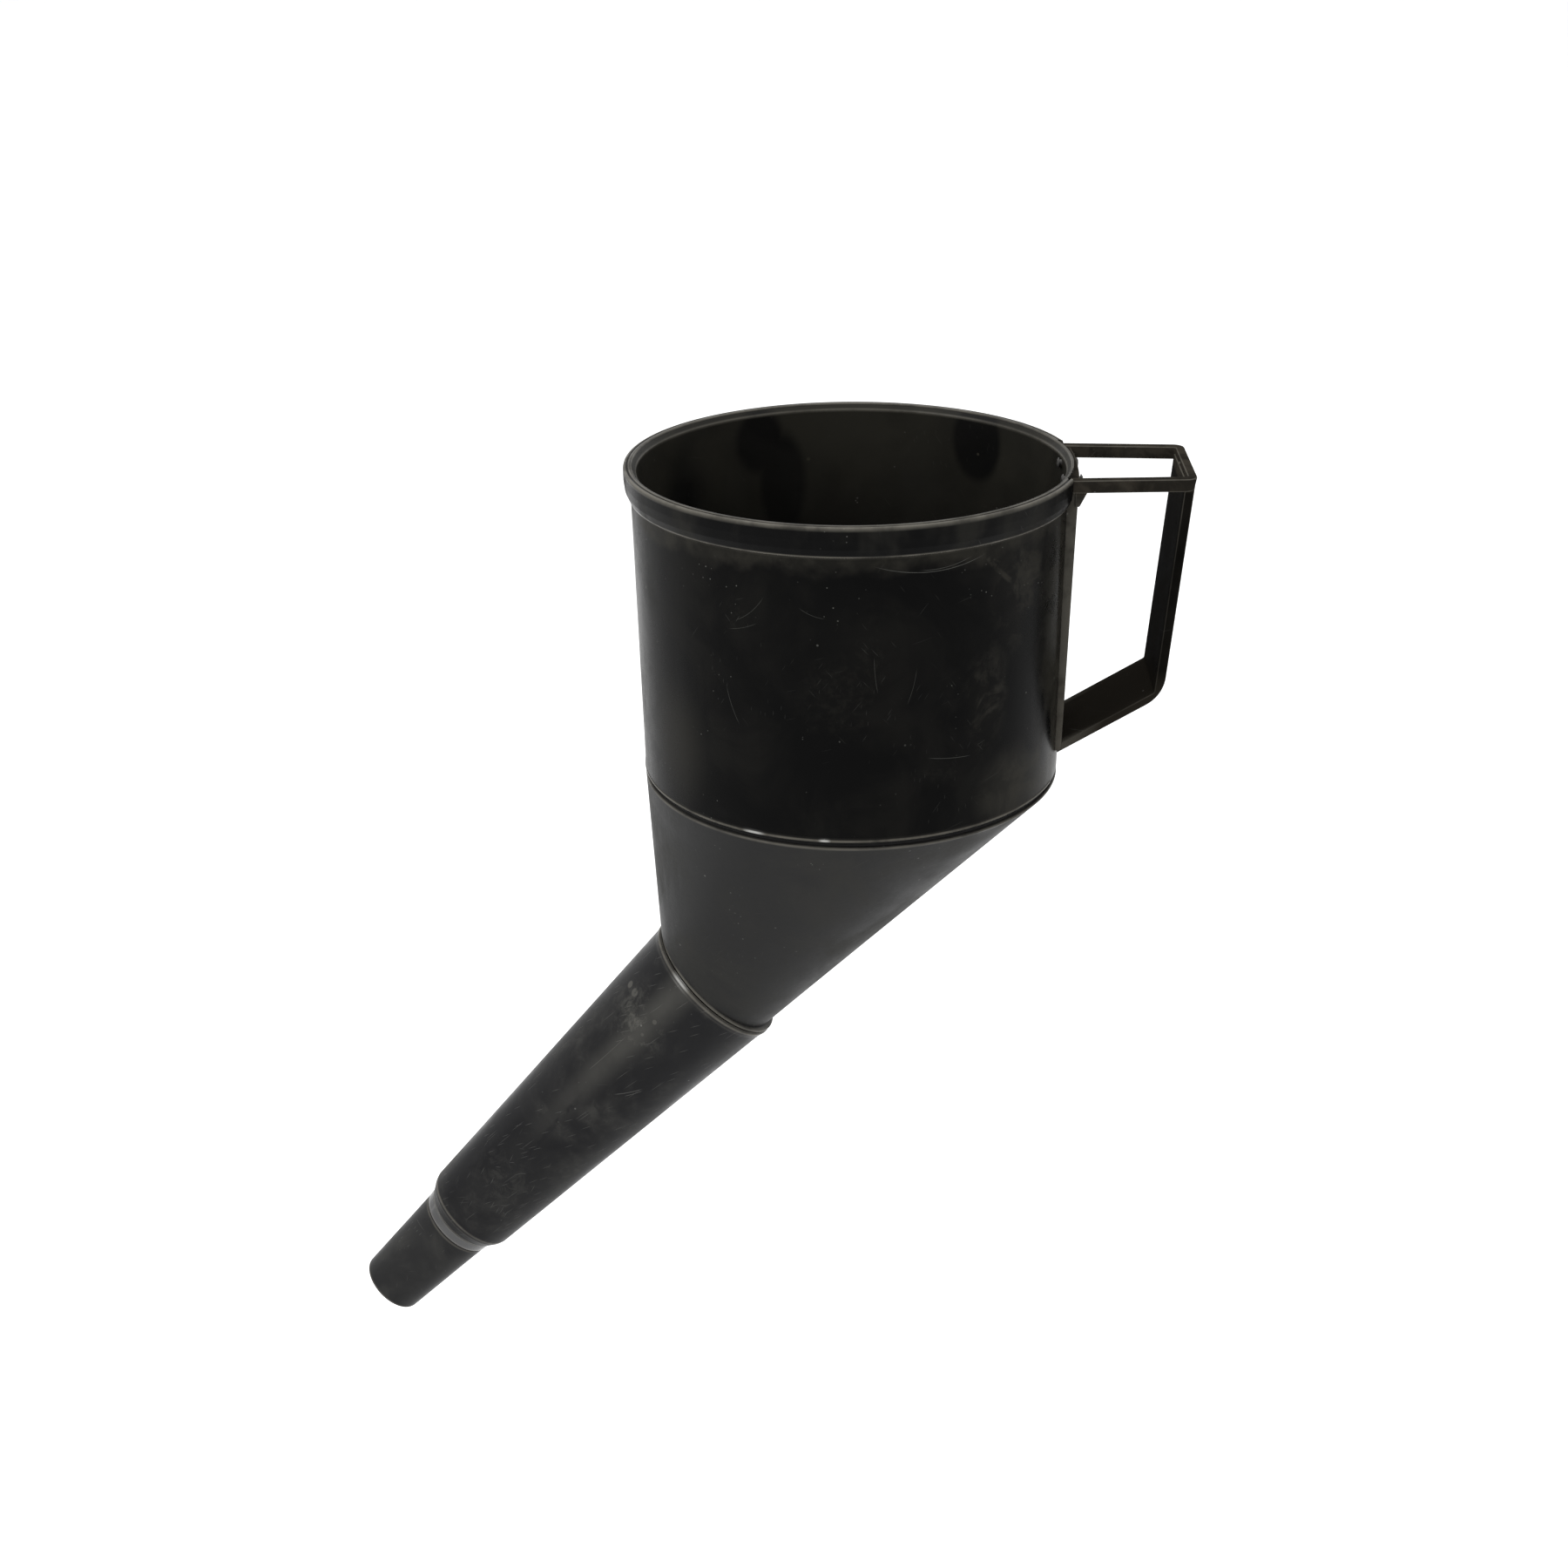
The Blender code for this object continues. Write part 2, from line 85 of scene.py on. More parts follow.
def make(name, verts, faces, wear=None, body="funnel", replaces=(), slot=None, mats=(),
         face_mat=None, sharp=38, flat=None):
    """One piece of the visual model.

    flat: the surface rolled out, (mm across, mm up) for each vertex, for scratches.
    wear: 0 to 1 for each vertex, how dusty and rubbed it is.
    """
    me = bpy.data.meshes.new(name)
    me.from_pydata([tuple(v) for v in verts], [], faces)
    if flat is None:
        flat = [((v[0] + 0.6 * v[1]) / MM, (v[2] + 0.4 * v[1]) / MM) for v in verts]
    at = me.attributes.new("flat", "FLOAT_VECTOR", "POINT")
    at.data.foreach_set("vector", [c * MM for u, v in flat for c in (u, v, 0)])
    if wear is not None:
        at = me.attributes.new("wear", "FLOAT", "POINT")
        at.data.foreach_set("value", wear)
    for m in mats:
        me.materials.append(m)
    if face_mat is not None:
        me.polygons.foreach_set("material_index", face_mat)
    bm = bmesh.new()
    bm.from_mesh(me)
    bmesh.ops.recalc_face_normals(bm, faces=bm.faces[:])
    bm.to_mesh(me)
    bm.free()
    me.shade_smooth()
    me.set_sharp_from_angle(angle=radians(sharp))
    ob = bpy.data.objects.new(name, me)
    bpy.context.scene.collection.objects.link(ob)
    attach(ob, body)
    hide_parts(*replaces)
    return ob


def rounded(profile):
    """Closed profile of (x, y, corner radius, wear) with its corners turned into arcs."""
    out = []
    m = len(profile)
    for i, (x, y, rad, wear) in enumerate(profile):
        if rad <= 0:
            out.append((x, y, wear))
            continue
        p = Vector((x, y))
        u = Vector(profile[i - 1][:2]) - p
        v = Vector(profile[(i + 1) % m][:2]) - p
        ang = u.angle(v)
        t = min(rad / tan(ang / 2), u.length * 0.45, v.length * 0.45)
        r = t * tan(ang / 2)
        un, vn = u.normalized(), v.normalized()
        c = p + (un + vn).normalized() * (r / sin(ang / 2))
        a, b = p + un * t - c, p + vn * t - c
        full = a.angle(b)
        if u.length * 0.9 > t + GUARD:
            q = p + un * (t + GUARD)
            out.append((q.x, q.y, 0.0))
        for k in range(CORNER_STEPS + 1):
            f = k / CORNER_STEPS
            w = (a * sin((1 - f) * full) + b * sin(f * full)) / sin(full)
            out.append((c.x + w.x, c.y + w.y, wear))
        if v.length * 0.9 > t + GUARD:
            q = p + vn * (t + GUARD)
            out.append((q.x, q.y, 0.0))
    return out


def arc(a, b, c, r, n):
    """Points of a fillet of radius r at the corner b of the path a, b, c."""
    a, b, c = Vector(a), Vector(b), Vector(c)
    u, v = (a - b).normalized(), (c - b).normalized()
    half = u.angle(v) / 2
    t = r / tan(half)
    m = b + (u + v).normalized() * (r / sin(half))
    p, q = b + u * t - m, b + v * t - m
    full = p.angle(q)
    return [m + (p * sin((1 - k / n) * full) + q * sin(k / n * full)) / sin(full)
            for k in range(n + 1)]


def skin(rows, close=True):
    """Faces through closed rows of equal length; close joins the last row to the first."""
    n = len(rows[0])
    m = len(rows)
    verts = [v for row in rows for v in row]
    faces = []
    for a in range(m if close else m - 1):
        b = (a + 1) % m
        for i in range(n):
            j = (i + 1) % n
            faces.append((a * n + i, b * n + i, b * n + j, a * n + j))
    return verts, faces


def turned(name, profile, place, n, **kw):
    """Ring of n columns from a closed profile of (radius, height, corner radius, wear).
    place maps a point in mm to the world."""
    pts = rounded(profile)
    rows = [[place((r * cos(2 * pi * k / n), r * sin(2 * pi * k / n), z)) for k in range(n)]
            for r, z, w in pts]
    verts, faces = skin(rows)
    wear = [w for r, z, w in pts for k in range(n)]
    mean = sum(r for r, z, w in pts) / len(pts)
    flat = [(mean * 2 * pi * (k / n - FRONT), z) for r, z, w in pts for k in range(n)]
    return make(name, verts, faces, wear, flat=flat, **kw)


def grid_solid(outer, inner):
    """Closed solid between two grids of points of the same shape."""
    rows, cols = len(outer), len(outer[0])
    verts = [p for row in outer for p in row] + [p for row in inner for p in row]
    o = rows * cols
    faces = []
    for a in range(rows - 1):
        for i in range(cols - 1):
            k = a * cols + i
            faces.append((k, k + cols, k + cols + 1, k + 1))
            faces.append((o + k, o + k + 1, o + k + cols + 1, o + k + cols))
    rim = list(range(cols)) + [a * cols + cols - 1 for a in range(1, rows)]
    rim += [(rows - 1) * cols + i for i in range(cols - 2, -1, -1)]
    rim += [a * cols for a in range(rows - 2, 0, -1)]
    for x, y in zip(rim, rim[1:] + rim[:1]):
        faces.append((x, y, o + y, o + x))
    return verts, faces


# ------------------------------------------------------------ material tools
class Graph:
    """Node graph of one material. Values may be numbers or output sockets."""

    def __init__(self, name):
        self.m = bpy.data.materials.new(name)
        self.m.use_nodes = True
        self.t = self.m.node_tree
        self.bsdf = self.t.nodes["Principled BSDF"]
        self.bsdf.distribution = "GGX"
        self.obj = self.t.nodes.new("ShaderNodeTexCoord").outputs["Object"]

    def link(self, a, b):
        self.t.links.new(a, b)

    def node(self, kind, **kw):
        n = self.t.nodes.new(kind)
        for k, v in kw.items():
            setattr(n, k, v)
        return n

    def put(self, sock, v):
        if hasattr(v, "is_output"):
            self.link(v, sock)
        else:
            sock.default_value = v

    def math(self, op, a, b=0.0, clamp=False):
        n = self.node("ShaderNodeMath", operation=op, use_clamp=clamp)
        self.put(n.inputs[0], a)
        self.put(n.inputs[1], b)
        return n.outputs[0]

    def times(self, first, *rest):
        for v in rest:
            first = self.math("MULTIPLY", first, v)
        return first

    def most(self, first, *rest):
        for v in rest:
            first = self.math("MAXIMUM", first, v)
        return first

    def rest_of(self, v):
        return self.math("SUBTRACT", 1.0, v)

    def coords(self, scale=(1, 1, 1), loc=(0, 0, 0)):
        n = self.node("ShaderNodeMapping")
        self.link(self.obj, n.inputs["Vector"])
        n.inputs["Scale"].default_value = scale
        n.inputs["Location"].default_value = loc
        return n.outputs[0]

    def noise(self, scale, detail=3.0, rough=0.55, vec=None, dist=0.0):
        n = self.node("ShaderNodeTexNoise")
        self.put(n.inputs["Vector"], vec if vec is not None else self.obj)
        n.inputs["Scale"].default_value = scale
        n.inputs["Detail"].default_value = detail
        n.inputs["Roughness"].default_value = rough
        n.inputs["Distortion"].default_value = dist
        return n.outputs["Fac"]

    def moved_noise(self, loc, scale, detail=3.0, rough=0.55, dist=0.0):
        return self.noise(scale, detail, rough, self.coords(loc=loc), dist)

    def cells(self, scale, vec=None):
        """Distance from scattered points, in cells."""
        n = self.node("ShaderNodeTexVoronoi")
        self.put(n.inputs["Vector"], vec if vec is not None else self.obj)
        n.inputs["Scale"].default_value = scale
        return n.outputs["Distance"]

    def step(self, v, a, b, lo=0.0, hi=1.0):
        n = self.node("ShaderNodeMapRange", interpolation_type="SMOOTHSTEP")
        n.clamp = True
        self.put(n.inputs["Value"], v)
        n.inputs["From Min"].default_value = a
        n.inputs["From Max"].default_value = b
        n.inputs["To Min"].default_value = lo
        n.inputs["To Max"].default_value = hi
        return n.outputs[0]

    def mix(self, fac, a, b):
        n = self.node("ShaderNodeMix", data_type="RGBA")
        self.put(n.inputs[0], fac)
        for s, v in ((n.inputs[6], a), (n.inputs[7], b)):
            self.put(s, v if hasattr(v, "is_output") else (*v, 1.0))
        return n.outputs[2]

    def attribute(self, name, out="Fac"):
        return self.node("ShaderNodeAttribute", attribute_name=name).outputs[out]

    def axis(self, vec, name):
        n = self.node("ShaderNodeSeparateXYZ")
        self.link(vec, n.inputs[0])
        return n.outputs[name]

    def flat_axis(self, name):
        return self.axis(self.attribute("flat", "Vector"), name)

    def bump(self, height, strength, depth, normal=None, invert=False):
        """depth in mm"""
        n = self.node("ShaderNodeBump")
        n.inputs["Strength"].default_value = strength
        n.inputs["Distance"].default_value = depth * MM
        n.invert = invert
        self.link(height, n.inputs["Height"])
        if normal is not None:
            self.link(normal, n.inputs["Normal"])
        return n.outputs[0]

    def spot(self, centre, size, soft=1.0, stretch=(1, 1, 1)):
        """Soft blob of a radius in mm round a point on the object."""
        n = self.node("ShaderNodeVectorMath", operation="SUBTRACT")
        self.link(self.obj, n.inputs[0])
        n.inputs[1].default_value = world(centre)
        s = self.node("ShaderNodeVectorMath", operation="MULTIPLY")
        self.link(n.outputs[0], s.inputs[0])
        s.inputs[1].default_value = stretch
        d = self.node("ShaderNodeVectorMath", operation="LENGTH")
        self.link(s.outputs[0], d.inputs[0])
        return self.step(d.outputs["Value"], size * MM, size * MM * (1 - 0.9 * soft))

    def dashes(self, length, width, angle, gap, seed, cover=0.5):
        """Straight fine scratches of one direction, scattered over the rolled-out
        surface: length, width and gap in mm, cover the part of it that has any."""
        m = self.node("ShaderNodeMapping", vector_type="TEXTURE")
        self.link(self.attribute("flat", "Vector"), m.inputs["Vector"])
        m.inputs["Location"].default_value = (seed * MM, seed * 1.7 * MM, 0)
        m.inputs["Rotation"].default_value = (0, 0, angle)
        m.inputs["Scale"].default_value = (gap * length / width * MM, gap * MM, 1)
        v = self.node("ShaderNodeTexVoronoi", voronoi_dimensions="2D")
        self.link(m.outputs[0], v.inputs["Vector"])
        v.inputs["Scale"].default_value = 1.0
        half = width / gap / 2
        line = self.step(v.outputs["Distance"], half, half * 0.35)
        patch = self.moved_noise((seed, 1, 2), 26, 2.0, 0.6)
        return self.times(line, self.step(patch, 1 - cover - 0.06, 1 - cover + 0.02))

    def stripe(self, u, half):
        """Soft lengthwise band round the rolled-out line at u (mm)."""
        off = self.math("ABSOLUTE", self.math("SUBTRACT", self.flat_axis("X"), u * MM))
        return self.step(off, half * MM, 0.0)

    def flat_gap(self, u, v):
        """Distance on the rolled-out surface from the point u, v (mm)."""
        n = self.node("ShaderNodeVectorMath", operation="DISTANCE")
        self.link(self.attribute("flat", "Vector"), n.inputs[0])
        n.inputs[1].default_value = (u * MM, v * MM, 0)
        return n.outputs["Value"]

    def arc_mark(self, at, radius, toward, width, reach):
        """One curved scratch through the point at, round a centre that lies toward."""
        c = (at[0] + radius * cos(toward), at[1] + radius * sin(toward))
        off = self.math("ABSOLUTE", self.math("SUBTRACT", self.flat_gap(*c), radius * MM))
        line = self.step(off, width * MM / 2, width * MM * 0.12)
        near = self.step(self.flat_gap(*at), reach * MM, reach * 0.6 * MM)
        return self.times(line, near)

    def spots(self, *rows):
        return self.most(*[self.spot(*row) for row in rows])

    def arc_marks(self, *rows):
        return self.most(*[self.arc_mark(*row) for row in rows])

    def scratches(self, *rows):
        return self.most(*[self.dashes(*row) for row in rows])


DUST = (0.115, 0.108, 0.092)
SPECK = (0.20, 0.20, 0.185)
SCRATCH = (0.14, 0.14, 0.13)
# colour of the painted highlights on worn edges
PAINTED_GLINT = (0.30, 0.30, 0.29)


def plastic(name, base, tint, rough, spec, haze, dust=0.35, film=0.25, specks=0.5,
            scratch=0.5, peel=0.25, films=None, marks=None, painted_glints=()):
    """Aged moulded plastic: clouded colour, dried film, dust specks, fine scratches, dusty edges
    and a faint moulded grain. The last argument gives points of painted highlights: light spots
    painted into the colour on worn edges."""
    g = Graph(name)
    cloud = g.noise(28, 4, 0.6, None, 0.6)
    streak = g.noise(60, 3, 0.6, g.coords((1, 1, 0.12), (3.1, 0, 0)))
    grain = g.noise(900, 2, 0.5)
    col = g.mix(g.step(cloud, 0.35, 0.7), base, tint)
    filmy = g.times(g.step(g.times(cloud, g.math("ADD", streak, 0.35)), 0.38, 0.62), film)
    if films:
        filmy = films(g, filmy)
    col = g.mix(filmy, col, haze)

    small = g.times(g.step(g.cells(420), 0.13, 0.05),
                    g.step(g.moved_noise((7, 1, 2), 35, 3, 0.7), 0.56, 0.68))
    big = g.times(g.step(g.cells(150, g.coords(loc=(1, 4, 2))), 0.075, 0.03),
                  g.step(g.moved_noise((2, 5, 2), 22, 2, 0.7), 0.5, 0.62))
    dots = g.times(g.most(small, big), specks)
    hair = g.scratches((7, 0.16, 0.9, 3.2, 3, 0.42), (4, 0.14, 2.2, 2.2, 7, 0.38),
                       (11, 0.15, 0.25, 4.5, 5, 0.40), (2.2, 0.2, 1.5, 2.0, 1, 0.36))
    hair = g.times(hair, scratch)
    if marks:
        hair = g.most(hair, marks(g))
    col = g.mix(g.times(dots, 0.8), col, SPECK)
    col = g.mix(g.times(hair, 0.5), col, SCRATCH)

    patchy = g.step(g.moved_noise((0, 3, 1), 70, 4, 0.65), 0.30, 0.60, 0.45, 1.0)
    worn = g.times(g.attribute("wear"), patchy)
    worn = g.math("MULTIPLY", worn, dust, clamp=True)
    col = g.mix(worn, col, DUST)
    # painted highlights: a light spot mixed into the colour round each point, where the edge is
    # worn
    for centre, size in painted_glints:
        edge = g.times(g.attribute("wear"), 0.9)
        painted_shine = g.math("MULTIPLY", g.spot(centre, size, 0.9), edge, clamp=True)
        col = g.mix(painted_shine, col, PAINTED_GLINT)
    g.link(col, g.bsdf.inputs["Base Color"])

    r = g.math("ADD", g.step(cloud, 0.3, 0.75, rough - 0.06, rough + 0.1),
               g.step(streak, 0.4, 0.7, 0.0, 0.06))
    r = g.math("ADD", r, g.math("SUBTRACT", g.times(filmy, 0.25), g.times(worn, 0.3)))
    r = g.math("ADD", r, g.times(g.math("SUBTRACT", grain, 0.5), 0.12), clamp=True)
    g.link(r, g.bsdf.inputs["Roughness"])
    g.bsdf.inputs["Specular IOR Level"].default_value = spec
    normal = g.bump(g.math("ADD", grain, g.times(g.noise(160, 2), 1.6)), peel, 0.06)
    normal = g.bump(g.math("ADD", hair, g.times(dots, -0.6)), 0.5, 0.08, normal, invert=True)
    g.link(normal, g.bsdf.inputs["Normal"])
    return g.m


def simple(name, base, rough, metal=0.0, spec=0.5, var=0.3, scale=250):
    """Rubber or metal with an uneven colour, polish and surface."""
    g = Graph(name)
    n = g.noise(scale, 4, 0.6)
    col = g.mix(g.step(n, 0.3, 0.7), [c * (1 - var) for c in base],
                [min(1, c * (1 + var)) for c in base])
    g.link(col, g.bsdf.inputs["Base Color"])
    g.link(g.step(n, 0.3, 0.7, rough - 0.08, rough + 0.12), g.bsdf.inputs["Roughness"])
    g.bsdf.inputs["Metallic"].default_value = metal
    g.bsdf.inputs["Specular IOR Level"].default_value = spec
    g.link(g.bump(n, 0.2, 0.08), g.bsdf.inputs["Normal"])
    return g.m


# ------------------------------------------------- films and marks by piece
def bowl_films(g, film):
    """Brownish dry film on the handle side with a bare runnel in it, dust under the
    band, and a pale haze low on the spout side."""
    cloud = g.step(g.moved_noise((5, 5, 5), 60, 4, 0.62, 0.9), 0.36, 0.60, 0.45, 1.0)
    beside_plate = g.step(g.flat_axis("X"), 0.070, 0.096)
    blotch = g.step(g.moved_noise((1, 6, 2), 75, 4, 0.65, 0.5), 0.42, 0.58, 0.15, 1.0)
    patch = g.times(g.spots(((59, -50, -30), 20, 1.0, (1, 1, 0.7)),
                            ((47, -61, -66), 13, 1.0, (1, 1, 0.5))), blotch)
    right = g.most(beside_plate, patch, g.spots(((56, -51, -103), 20, 0.9, (0.9, 0.9, 1)),
                                                ((66, -37, -104), 15, 0.8)))
    runnel = g.spots(((62, -45.5, -46), 7, 0.5, (1, 1, 0.6)),
                     ((57.4, -51, -60), 8, 0.5, (1, 1, 0.8)),
                     ((60.5, -48, -70), 10, 0.4, (0.9, 0.9, 0.8)),
                     ((65, -41, -82), 9, 0.4, (1, 1, 0.65)),
                     ((70, -32, -93), 7, 0.5, (1.1, 1, 0.5)))
    right = g.times(right, g.rest_of(runnel), g.times(cloud, 0.55))
    swirl = g.times(g.arc_marks(((52, -19.5), 70, 0.78, 3.0, 13), ((48, -14.5), 30, 0.9, 1.2, 9)),
                    g.step(g.noise(240, 3, 0.7), 0.35, 0.6, 0.10, 0.50))
    ragged = g.math("ADD", g.flat_axis("Y"), g.times(g.noise(70, 3, 0.6), 0.016))
    under_band = g.times(g.step(ragged, -0.0105, -0.0035), g.times(cloud, 0.45))
    left = g.times(g.spot((-60, -48, -88), 24, 1.0, (1.3, 1.0, 0.8)), 0.26)
    front = g.times(g.spots(((8, -76, -46), 11, 1.0, (1.0, 1, 0.45)), ((-2, -77, -60), 22),
                            ((45, -62, -84), 8), ((30, -70, -90), 16, 1.0, (1, 1, 3)),
                            ((-37, -68, -34), 8, 1.0, (1, 1, 0.8))),
                    g.step(g.noise(300, 4, 0.75), 0.42, 0.70, 0.02, 0.13))
    return g.most(film, right, swirl, under_band, left, front)


def bowl_marks(g):
    """The scratches that stand out: a shallow arc under the band, a few long single
    ones and loose groups of short ones."""
    shallow = g.times(g.arc_marks(((28, -17.2), 62, pi / 2, 0.28, 21),
                                  ((33, -16.2), 40, 1.7, 0.2, 10)),
                      g.step(g.noise(130, 2), 0.34, 0.5, 0.35, 0.9))
    single = g.arc_marks(((-41.5, -67), 40, 0.35, 0.22, 7.5), ((-33, -32), 24, 2.3, 0.18, 8),
                         ((-36, -38), 30, 1.9, 0.16, 6), ((9, -52), 60, 0.1, 0.18, 7),
                         ((22, -57), 45, 2.9, 0.16, 7), ((36, -85), 90, 1.45, 0.3, 9),
                         ((-12, -31), 16, 1.2, 0.18, 5))
    group = g.times(g.scratches((3.6, 0.15, 1.0, 2.1, 11, 0.55), (4.5, 0.14, 2.3, 2.4, 17, 0.5),
                                (5.0, 0.13, 0.3, 2.8, 23, 0.5)),
                    g.spots(((-37, -68, -34), 12), ((8, -76, -47), 18, 1.0, (1.0, 1, 0.7)),
                            ((2, -77, -62), 30, 1.0, (0.7, 1, 1.0)), ((45, -62, -84), 14),
                            ((-39, -66, -70), 12)))
    return g.most(g.times(shallow, 0.9), g.times(single, 0.45), g.times(group, 0.42))


def inside_films(g, film):
    """Dried fuel film on the inner wall with bare dark patches and two light dots."""
    n = g.moved_noise((2, 0, 4), 30, 3, 0.5, 0.8)
    bare = g.spots(((-36, 67, -12), 12, 0.4, (1, 1, 0.8)), ((-27, 70, -30), 11, 0.4, (1, 1, 0.45)),
                   ((47, 59, -10), 12.5, 0.3, (1, 1, 0.7)), ((-62, 40, -30), 18, 0.9, (1, 1, 0.6)))
    dried = g.step(n, 0.3, 0.7, 0.30, 0.52)
    thinner_low = g.step(g.flat_axis("Y"), -0.060, -0.012, 0.45, 1.0)
    dots = g.times(g.spots(((-17.2, 73.3, -21), 0.9, 0.4), ((47.3, 58.8, -15), 0.7, 0.4)), 0.9)
    return g.most(g.times(dried, thinner_low, g.rest_of(bare)), dots)


def spout_films(g, film):
    """Powdery pale scuffs and drops near the lip, one of the scuffs set where the highlight falls,
    so stain and painted highlight in one; a painted highlight down the upper side; dark greasy
    lines."""
    fine = g.step(g.moved_noise((1, 2, 9), 190, 4, 0.72, 0.8), 0.42, 0.62)
    # pale scuffs near the lip, placed where the highlight falls: stain and painted highlight in one
    chalk_and_highlight = g.times(g.spots(((-81, -21.5, -215), 17, 1.0, (1, 1, 0.8)), ((-77, -24.5, -212), 10)),
                    g.step(g.moved_noise((8, 2, 1), 150, 5, 0.75, 0.3), 0.40, 0.72, 0.08, 0.80))
    fading = g.step(g.flat_axis("Y"), -0.112, -0.022, 0.03, 0.42)
    # painted highlight: a light band down the upper side, fading downwards
    painted_sheen = g.times(g.stripe(-11.5, 8.5), fading,
                    g.step(g.moved_noise((3, 3, 3), 45, 3, 0.6), 0.3, 0.6, 0.6, 1.0))
    drops = g.times(g.spots(((-85, -11.5, -204.5), 2.0, 0.4), ((-82, -15, -206.5), 2.3, 0.4),
                            ((-74.5, -25.5, -213.5), 1.6, 0.4), ((-79, -24, -219.5), 1.1, 0.4),
                            ((-72, -26.5, -210), 0.9, 0.4)), 0.6)
    lines = g.times(g.arc_marks(((-13, -27), 70, 2.9, 0.3, 7),
                                ((-13.5, -44), 260, 3.1, 0.4, 14)), 0.6)
    end = g.times(g.spot((-138, -20, -290), 20), g.times(fine, 0.16))
    grease = g.times(g.arc_marks(((-22, -26), 220, 0.1, 1.3, 10), ((-20.5, -44), 200, 0.1, 0.9, 8),
                                 ((-7.5, -95), 400, 0.08, 3.5, 34)),
                     g.step(g.moved_noise((4, 4, 4), 120, 3, 0.6), 0.42, 0.55))
    broken = g.times(film, g.math("ADD", g.times(fine, 0.6), 0.4))
    pale = g.most(broken, chalk_and_highlight, painted_sheen, drops, lines, end)
    return g.times(pale, g.rest_of(g.times(grease, 0.9)))


def spout_marks(g):
    """Scrapes from filler necks, mostly along the spout and near its end."""
    lengthwise = g.times(g.scratches((9, 0.2, 1.45, 2.4, 31, 0.6),
                                     (5, 0.22, 1.15, 1.8, 37, 0.55)), 0.55)
    end = g.times(g.scratches((4.5, 0.22, 1.9, 2.3, 41, 0.6), (3.4, 0.2, 0.8, 2.6, 43, 0.55)),
                  g.times(g.spot((-138, -20, -290), 34), 0.8))
    crossed = g.times(g.arc_marks(((1.7, -50), 50, 2.6, 0.4, 6),
                                  ((3.5, -49), 40, 2.7, 0.3, 4)), 0.7)
    return g.most(lengthwise, end, crossed)


def handle_films(g, film):
    """The top frame is dustier than the strap, and the lower arm has a rusty film."""
    n = g.step(g.moved_noise((6, 1, 3), 110, 4, 0.6, 0.6), 0.35, 0.62, 0.25, 1.0)
    z = g.axis(g.obj, "Z")
    on_top_frame = g.step(z, RIM.z - 0.0075, RIM.z - 0.0060)
    on_lower_arm = g.step(z, RIM.z - 0.070, RIM.z - 0.082)
    return g.most(g.times(film, 0.35), g.times(on_top_frame, n, 0.68), g.times(on_lower_arm, 0.36))


# ---------------------------------------------------------------- materials
BOWL = plastic(
    "bowl_black_moulded", (0.0017, 0.0017, 0.0017), (0.0031, 0.0030, 0.0028), 0.24, 0.029,
    haze=(0.030, 0.0280, 0.0225), dust=0.6, film=0.05, specks=0.5, scratch=0.25, peel=0.15,
    films=bowl_films, marks=bowl_marks,
    # two painted highlights: light spots on the bead at the seam
    painted_glints=(((-32.5, -68.7, -112.9), 5), ((-8, -75.7, -112.9), 2.5)))
BAND = plastic(
    "rim_band_moulded", (0.0014, 0.0014, 0.0015), (0.0030, 0.0030, 0.0030), 0.34, 0.04,
    haze=(0.023, 0.0222, 0.0185), dust=0.8, film=0.36, specks=0.6, scratch=0.4)
INSIDE = plastic(
    "bowl_inside_film", (0.0040, 0.0039, 0.0037), (0.0055, 0.0053, 0.0048), 0.36, 0.08,
    haze=(0.0235, 0.0220, 0.0165), dust=0.5, film=0.0, specks=0.35, scratch=0.2,
    films=inside_films)
CONE = plastic(
    "cone_grey_moulded", (0.0120, 0.0120, 0.0120), (0.0162, 0.0160, 0.0152), 0.46, 0.055,
    haze=(0.036, 0.035, 0.030), dust=0.6, film=0.14, specks=0.4, scratch=0.2)
SPOUT = plastic(
    "spout_grey_moulded", (0.0082, 0.0082, 0.0088), (0.0122, 0.0121, 0.0124), 0.36, 0.055,
    haze=(0.078, 0.076, 0.068), dust=0.7, film=0.26, specks=0.6, scratch=0.38,
    # a painted highlight on the rounded crest of the lip
    films=spout_films, marks=spout_marks, painted_glints=(((-64.3, -23.9, -197.3), 6),))
NOZZLE = plastic(
    "nozzle_grey_moulded", (0.0130, 0.0130, 0.0134), (0.0195, 0.0194, 0.0192), 0.38, 0.045,
    haze=(0.055, 0.054, 0.048), dust=0.6, film=0.30, specks=0.6, scratch=0.6)
HANDLE = plastic(
    "handle_black_moulded", (0.0016, 0.0015, 0.0013), (0.0030, 0.0027, 0.0023), 0.62, 0.0012,
    haze=(0.028, 0.024, 0.0185), dust=0.50, film=0.35, specks=0.4, scratch=0.4,
    films=handle_films)
COLLAR = plastic(
    "collar_polished", (0.0360, 0.0360, 0.0368), (0.0440, 0.0440, 0.0440), 0.18, 0.45,
    haze=(0.040, 0.038, 0.030), dust=0.5, film=0.1, specks=0.3, scratch=0.3, peel=0.1,
    # a painted highlight on the collar's upper edge
    painted_glints=(((-160.4, -15.3, -303.6), 5),))
RUBBER = simple("seal_black_rubber", (0.004, 0.004, 0.004), 0.75, spec=0.2)
BRASS = simple("strainer_dull_brass", (0.42, 0.30, 0.12), 0.38, 1.0, var=0.25)
GAUZE = simple("gauze_brass_wire", (0.46, 0.34, 0.15), 0.35, 1.0, var=0.25, scale=600)
STEEL = simple("loop_plain_steel", (0.36, 0.36, 0.36), 0.32, 1.0, var=0.2, scale=500)
DULL = simple("rivet_dull_steel", (0.055, 0.053, 0.050), 0.5, 0.7, var=0.5, scale=900)

